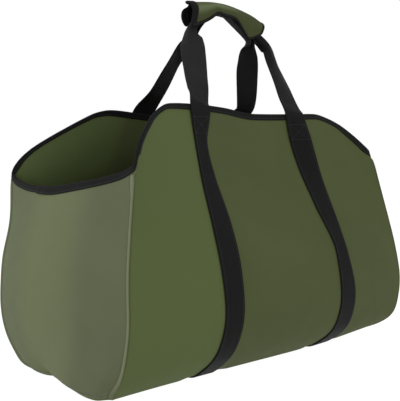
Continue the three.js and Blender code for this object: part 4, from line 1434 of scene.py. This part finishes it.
class CARRIER_OT_stage(bpy.types.Operator):
    """Make the floor, the lights and the camera"""

    bl_idname = "carrier.stage"
    bl_label = "Stage"

    def execute(self, context):
        scene = context.scene
        studio = scene.carrier_studio
        mesh = bpy.data.meshes.new("floor")
        reach = FLOOR["reach"]
        corners = [(-reach, -reach, 0), (reach, -reach, 0), (reach, reach, 0), (-reach, reach, 0)]
        mesh.from_pydata(corners, [], [(0, 1, 2, 3)])
        floor = bpy.data.objects.new("floor", mesh)
        scene.collection.objects.link(floor)
        paint = bpy.data.materials.new("floor white")
        paint.use_nodes = True
        shader = paint.node_tree.nodes["Principled BSDF"]
        shader.inputs["Base Color"].default_value = (*[FLOOR["grey"]] * 3, 1)
        shader.inputs["Roughness"].default_value = FLOOR["rough"]
        shader.inputs["Specular IOR Level"].default_value = 0.0
        shader.inputs["Emission Color"].default_value = (1, 1, 1, 1)
        shader.inputs["Emission Strength"].default_value = studio.floor
        mesh.materials.append(paint)
        world = bpy.data.worlds.new("white room")
        world.use_nodes = True
        sky = world.node_tree.nodes["Background"]
        sky.inputs["Color"].default_value = (1, 1, 1, 1)
        sky.inputs["Strength"].default_value = studio.sky
        scene.world = world
        for name, values in LIGHTS.items():
            lamp = bpy.data.lights.new(f"{name} light", "AREA")
            lamp.energy = getattr(studio, name)
            lamp.size = values["size"]
            light = bpy.data.objects.new(f"{name} light", lamp)
            light.location = values["place"]
            light.rotation_mode = "QUATERNION"
            heading = Vector(LIGHT_AIM) - Vector(values["place"])
            light.rotation_quaternion = heading.to_track_quat("-Z", "Y")
            scene.collection.objects.link(light)
        camera = bpy.data.cameras.new("photo view")
        camera.lens = studio.lens
        camera.sensor_width = CAMERA["sensor"]
        camera.clip_start = CAMERA["near"]
        camera.clip_end = CAMERA["far"]
        viewer = bpy.data.objects.new("photo view", camera)
        aim = (
            Matrix.Rotation(-studio.yaw, 4, "Z")
            @ Matrix.Rotation(math.pi / 2 - studio.pitch, 4, "X")
            @ Matrix.Rotation(studio.roll, 4, "Z"))
        viewer.matrix_world = Matrix.Translation(studio.eye) @ aim
        scene.collection.objects.link(viewer)
        scene.camera = viewer
        scene.view_settings.view_transform = "Standard"
        return {"FINISHED"}


OPERATORS = (
    CARRIER_OT_panel,
    CARRIER_OT_ends,
    CARRIER_OT_seams,
    CARRIER_OT_rim,
    CARRIER_OT_straps,
    CARRIER_OT_grip,
    CARRIER_OT_stage,
)


class CARRIER_PT_sidebar(bpy.types.Panel):
    """Lists the pieces of the carrier and their sizes"""

    bl_idname = "CARRIER_PT_sidebar"
    bl_label = "Log carrier"
    bl_space_type = "VIEW_3D"
    bl_region_type = "UI"
    bl_category = "Carrier"

    def draw(self, context):
        for group in ("carrier_cloth", "carrier_trim", "carrier_studio"):
            values = getattr(context.scene, group)
            for key in values.bl_rna.properties.keys():
                if key not in ("rna_type", "name"):
                    self.layout.prop(values, key)
        for operator in OPERATORS:
            self.layout.operator(operator.bl_idname)


GROUPS = {"carrier_cloth": CarrierCloth, "carrier_trim": CarrierTrim, "carrier_studio": CarrierStudio}


def register():
    for made in (*GROUPS.values(), *OPERATORS, CARRIER_PT_sidebar):
        bpy.utils.register_class(made)
    for name, group in GROUPS.items():
        setattr(bpy.types.Scene, name, PointerProperty(type=group))


def unregister():
    for name in GROUPS:
        delattr(bpy.types.Scene, name)
    for made in reversed((*GROUPS.values(), *OPERATORS, CARRIER_PT_sidebar)):
        bpy.utils.unregister_class(made)


def main():
    register()
    bpy.ops.carrier.panel()
    bpy.ops.carrier.ends()
    bpy.ops.carrier.seams()
    bpy.ops.carrier.rim()
    bpy.ops.carrier.straps()
    bpy.ops.carrier.grip()
    bpy.ops.carrier.stage()
    bpy.context.view_layer.update()


if __name__ == "__main__":
    main()
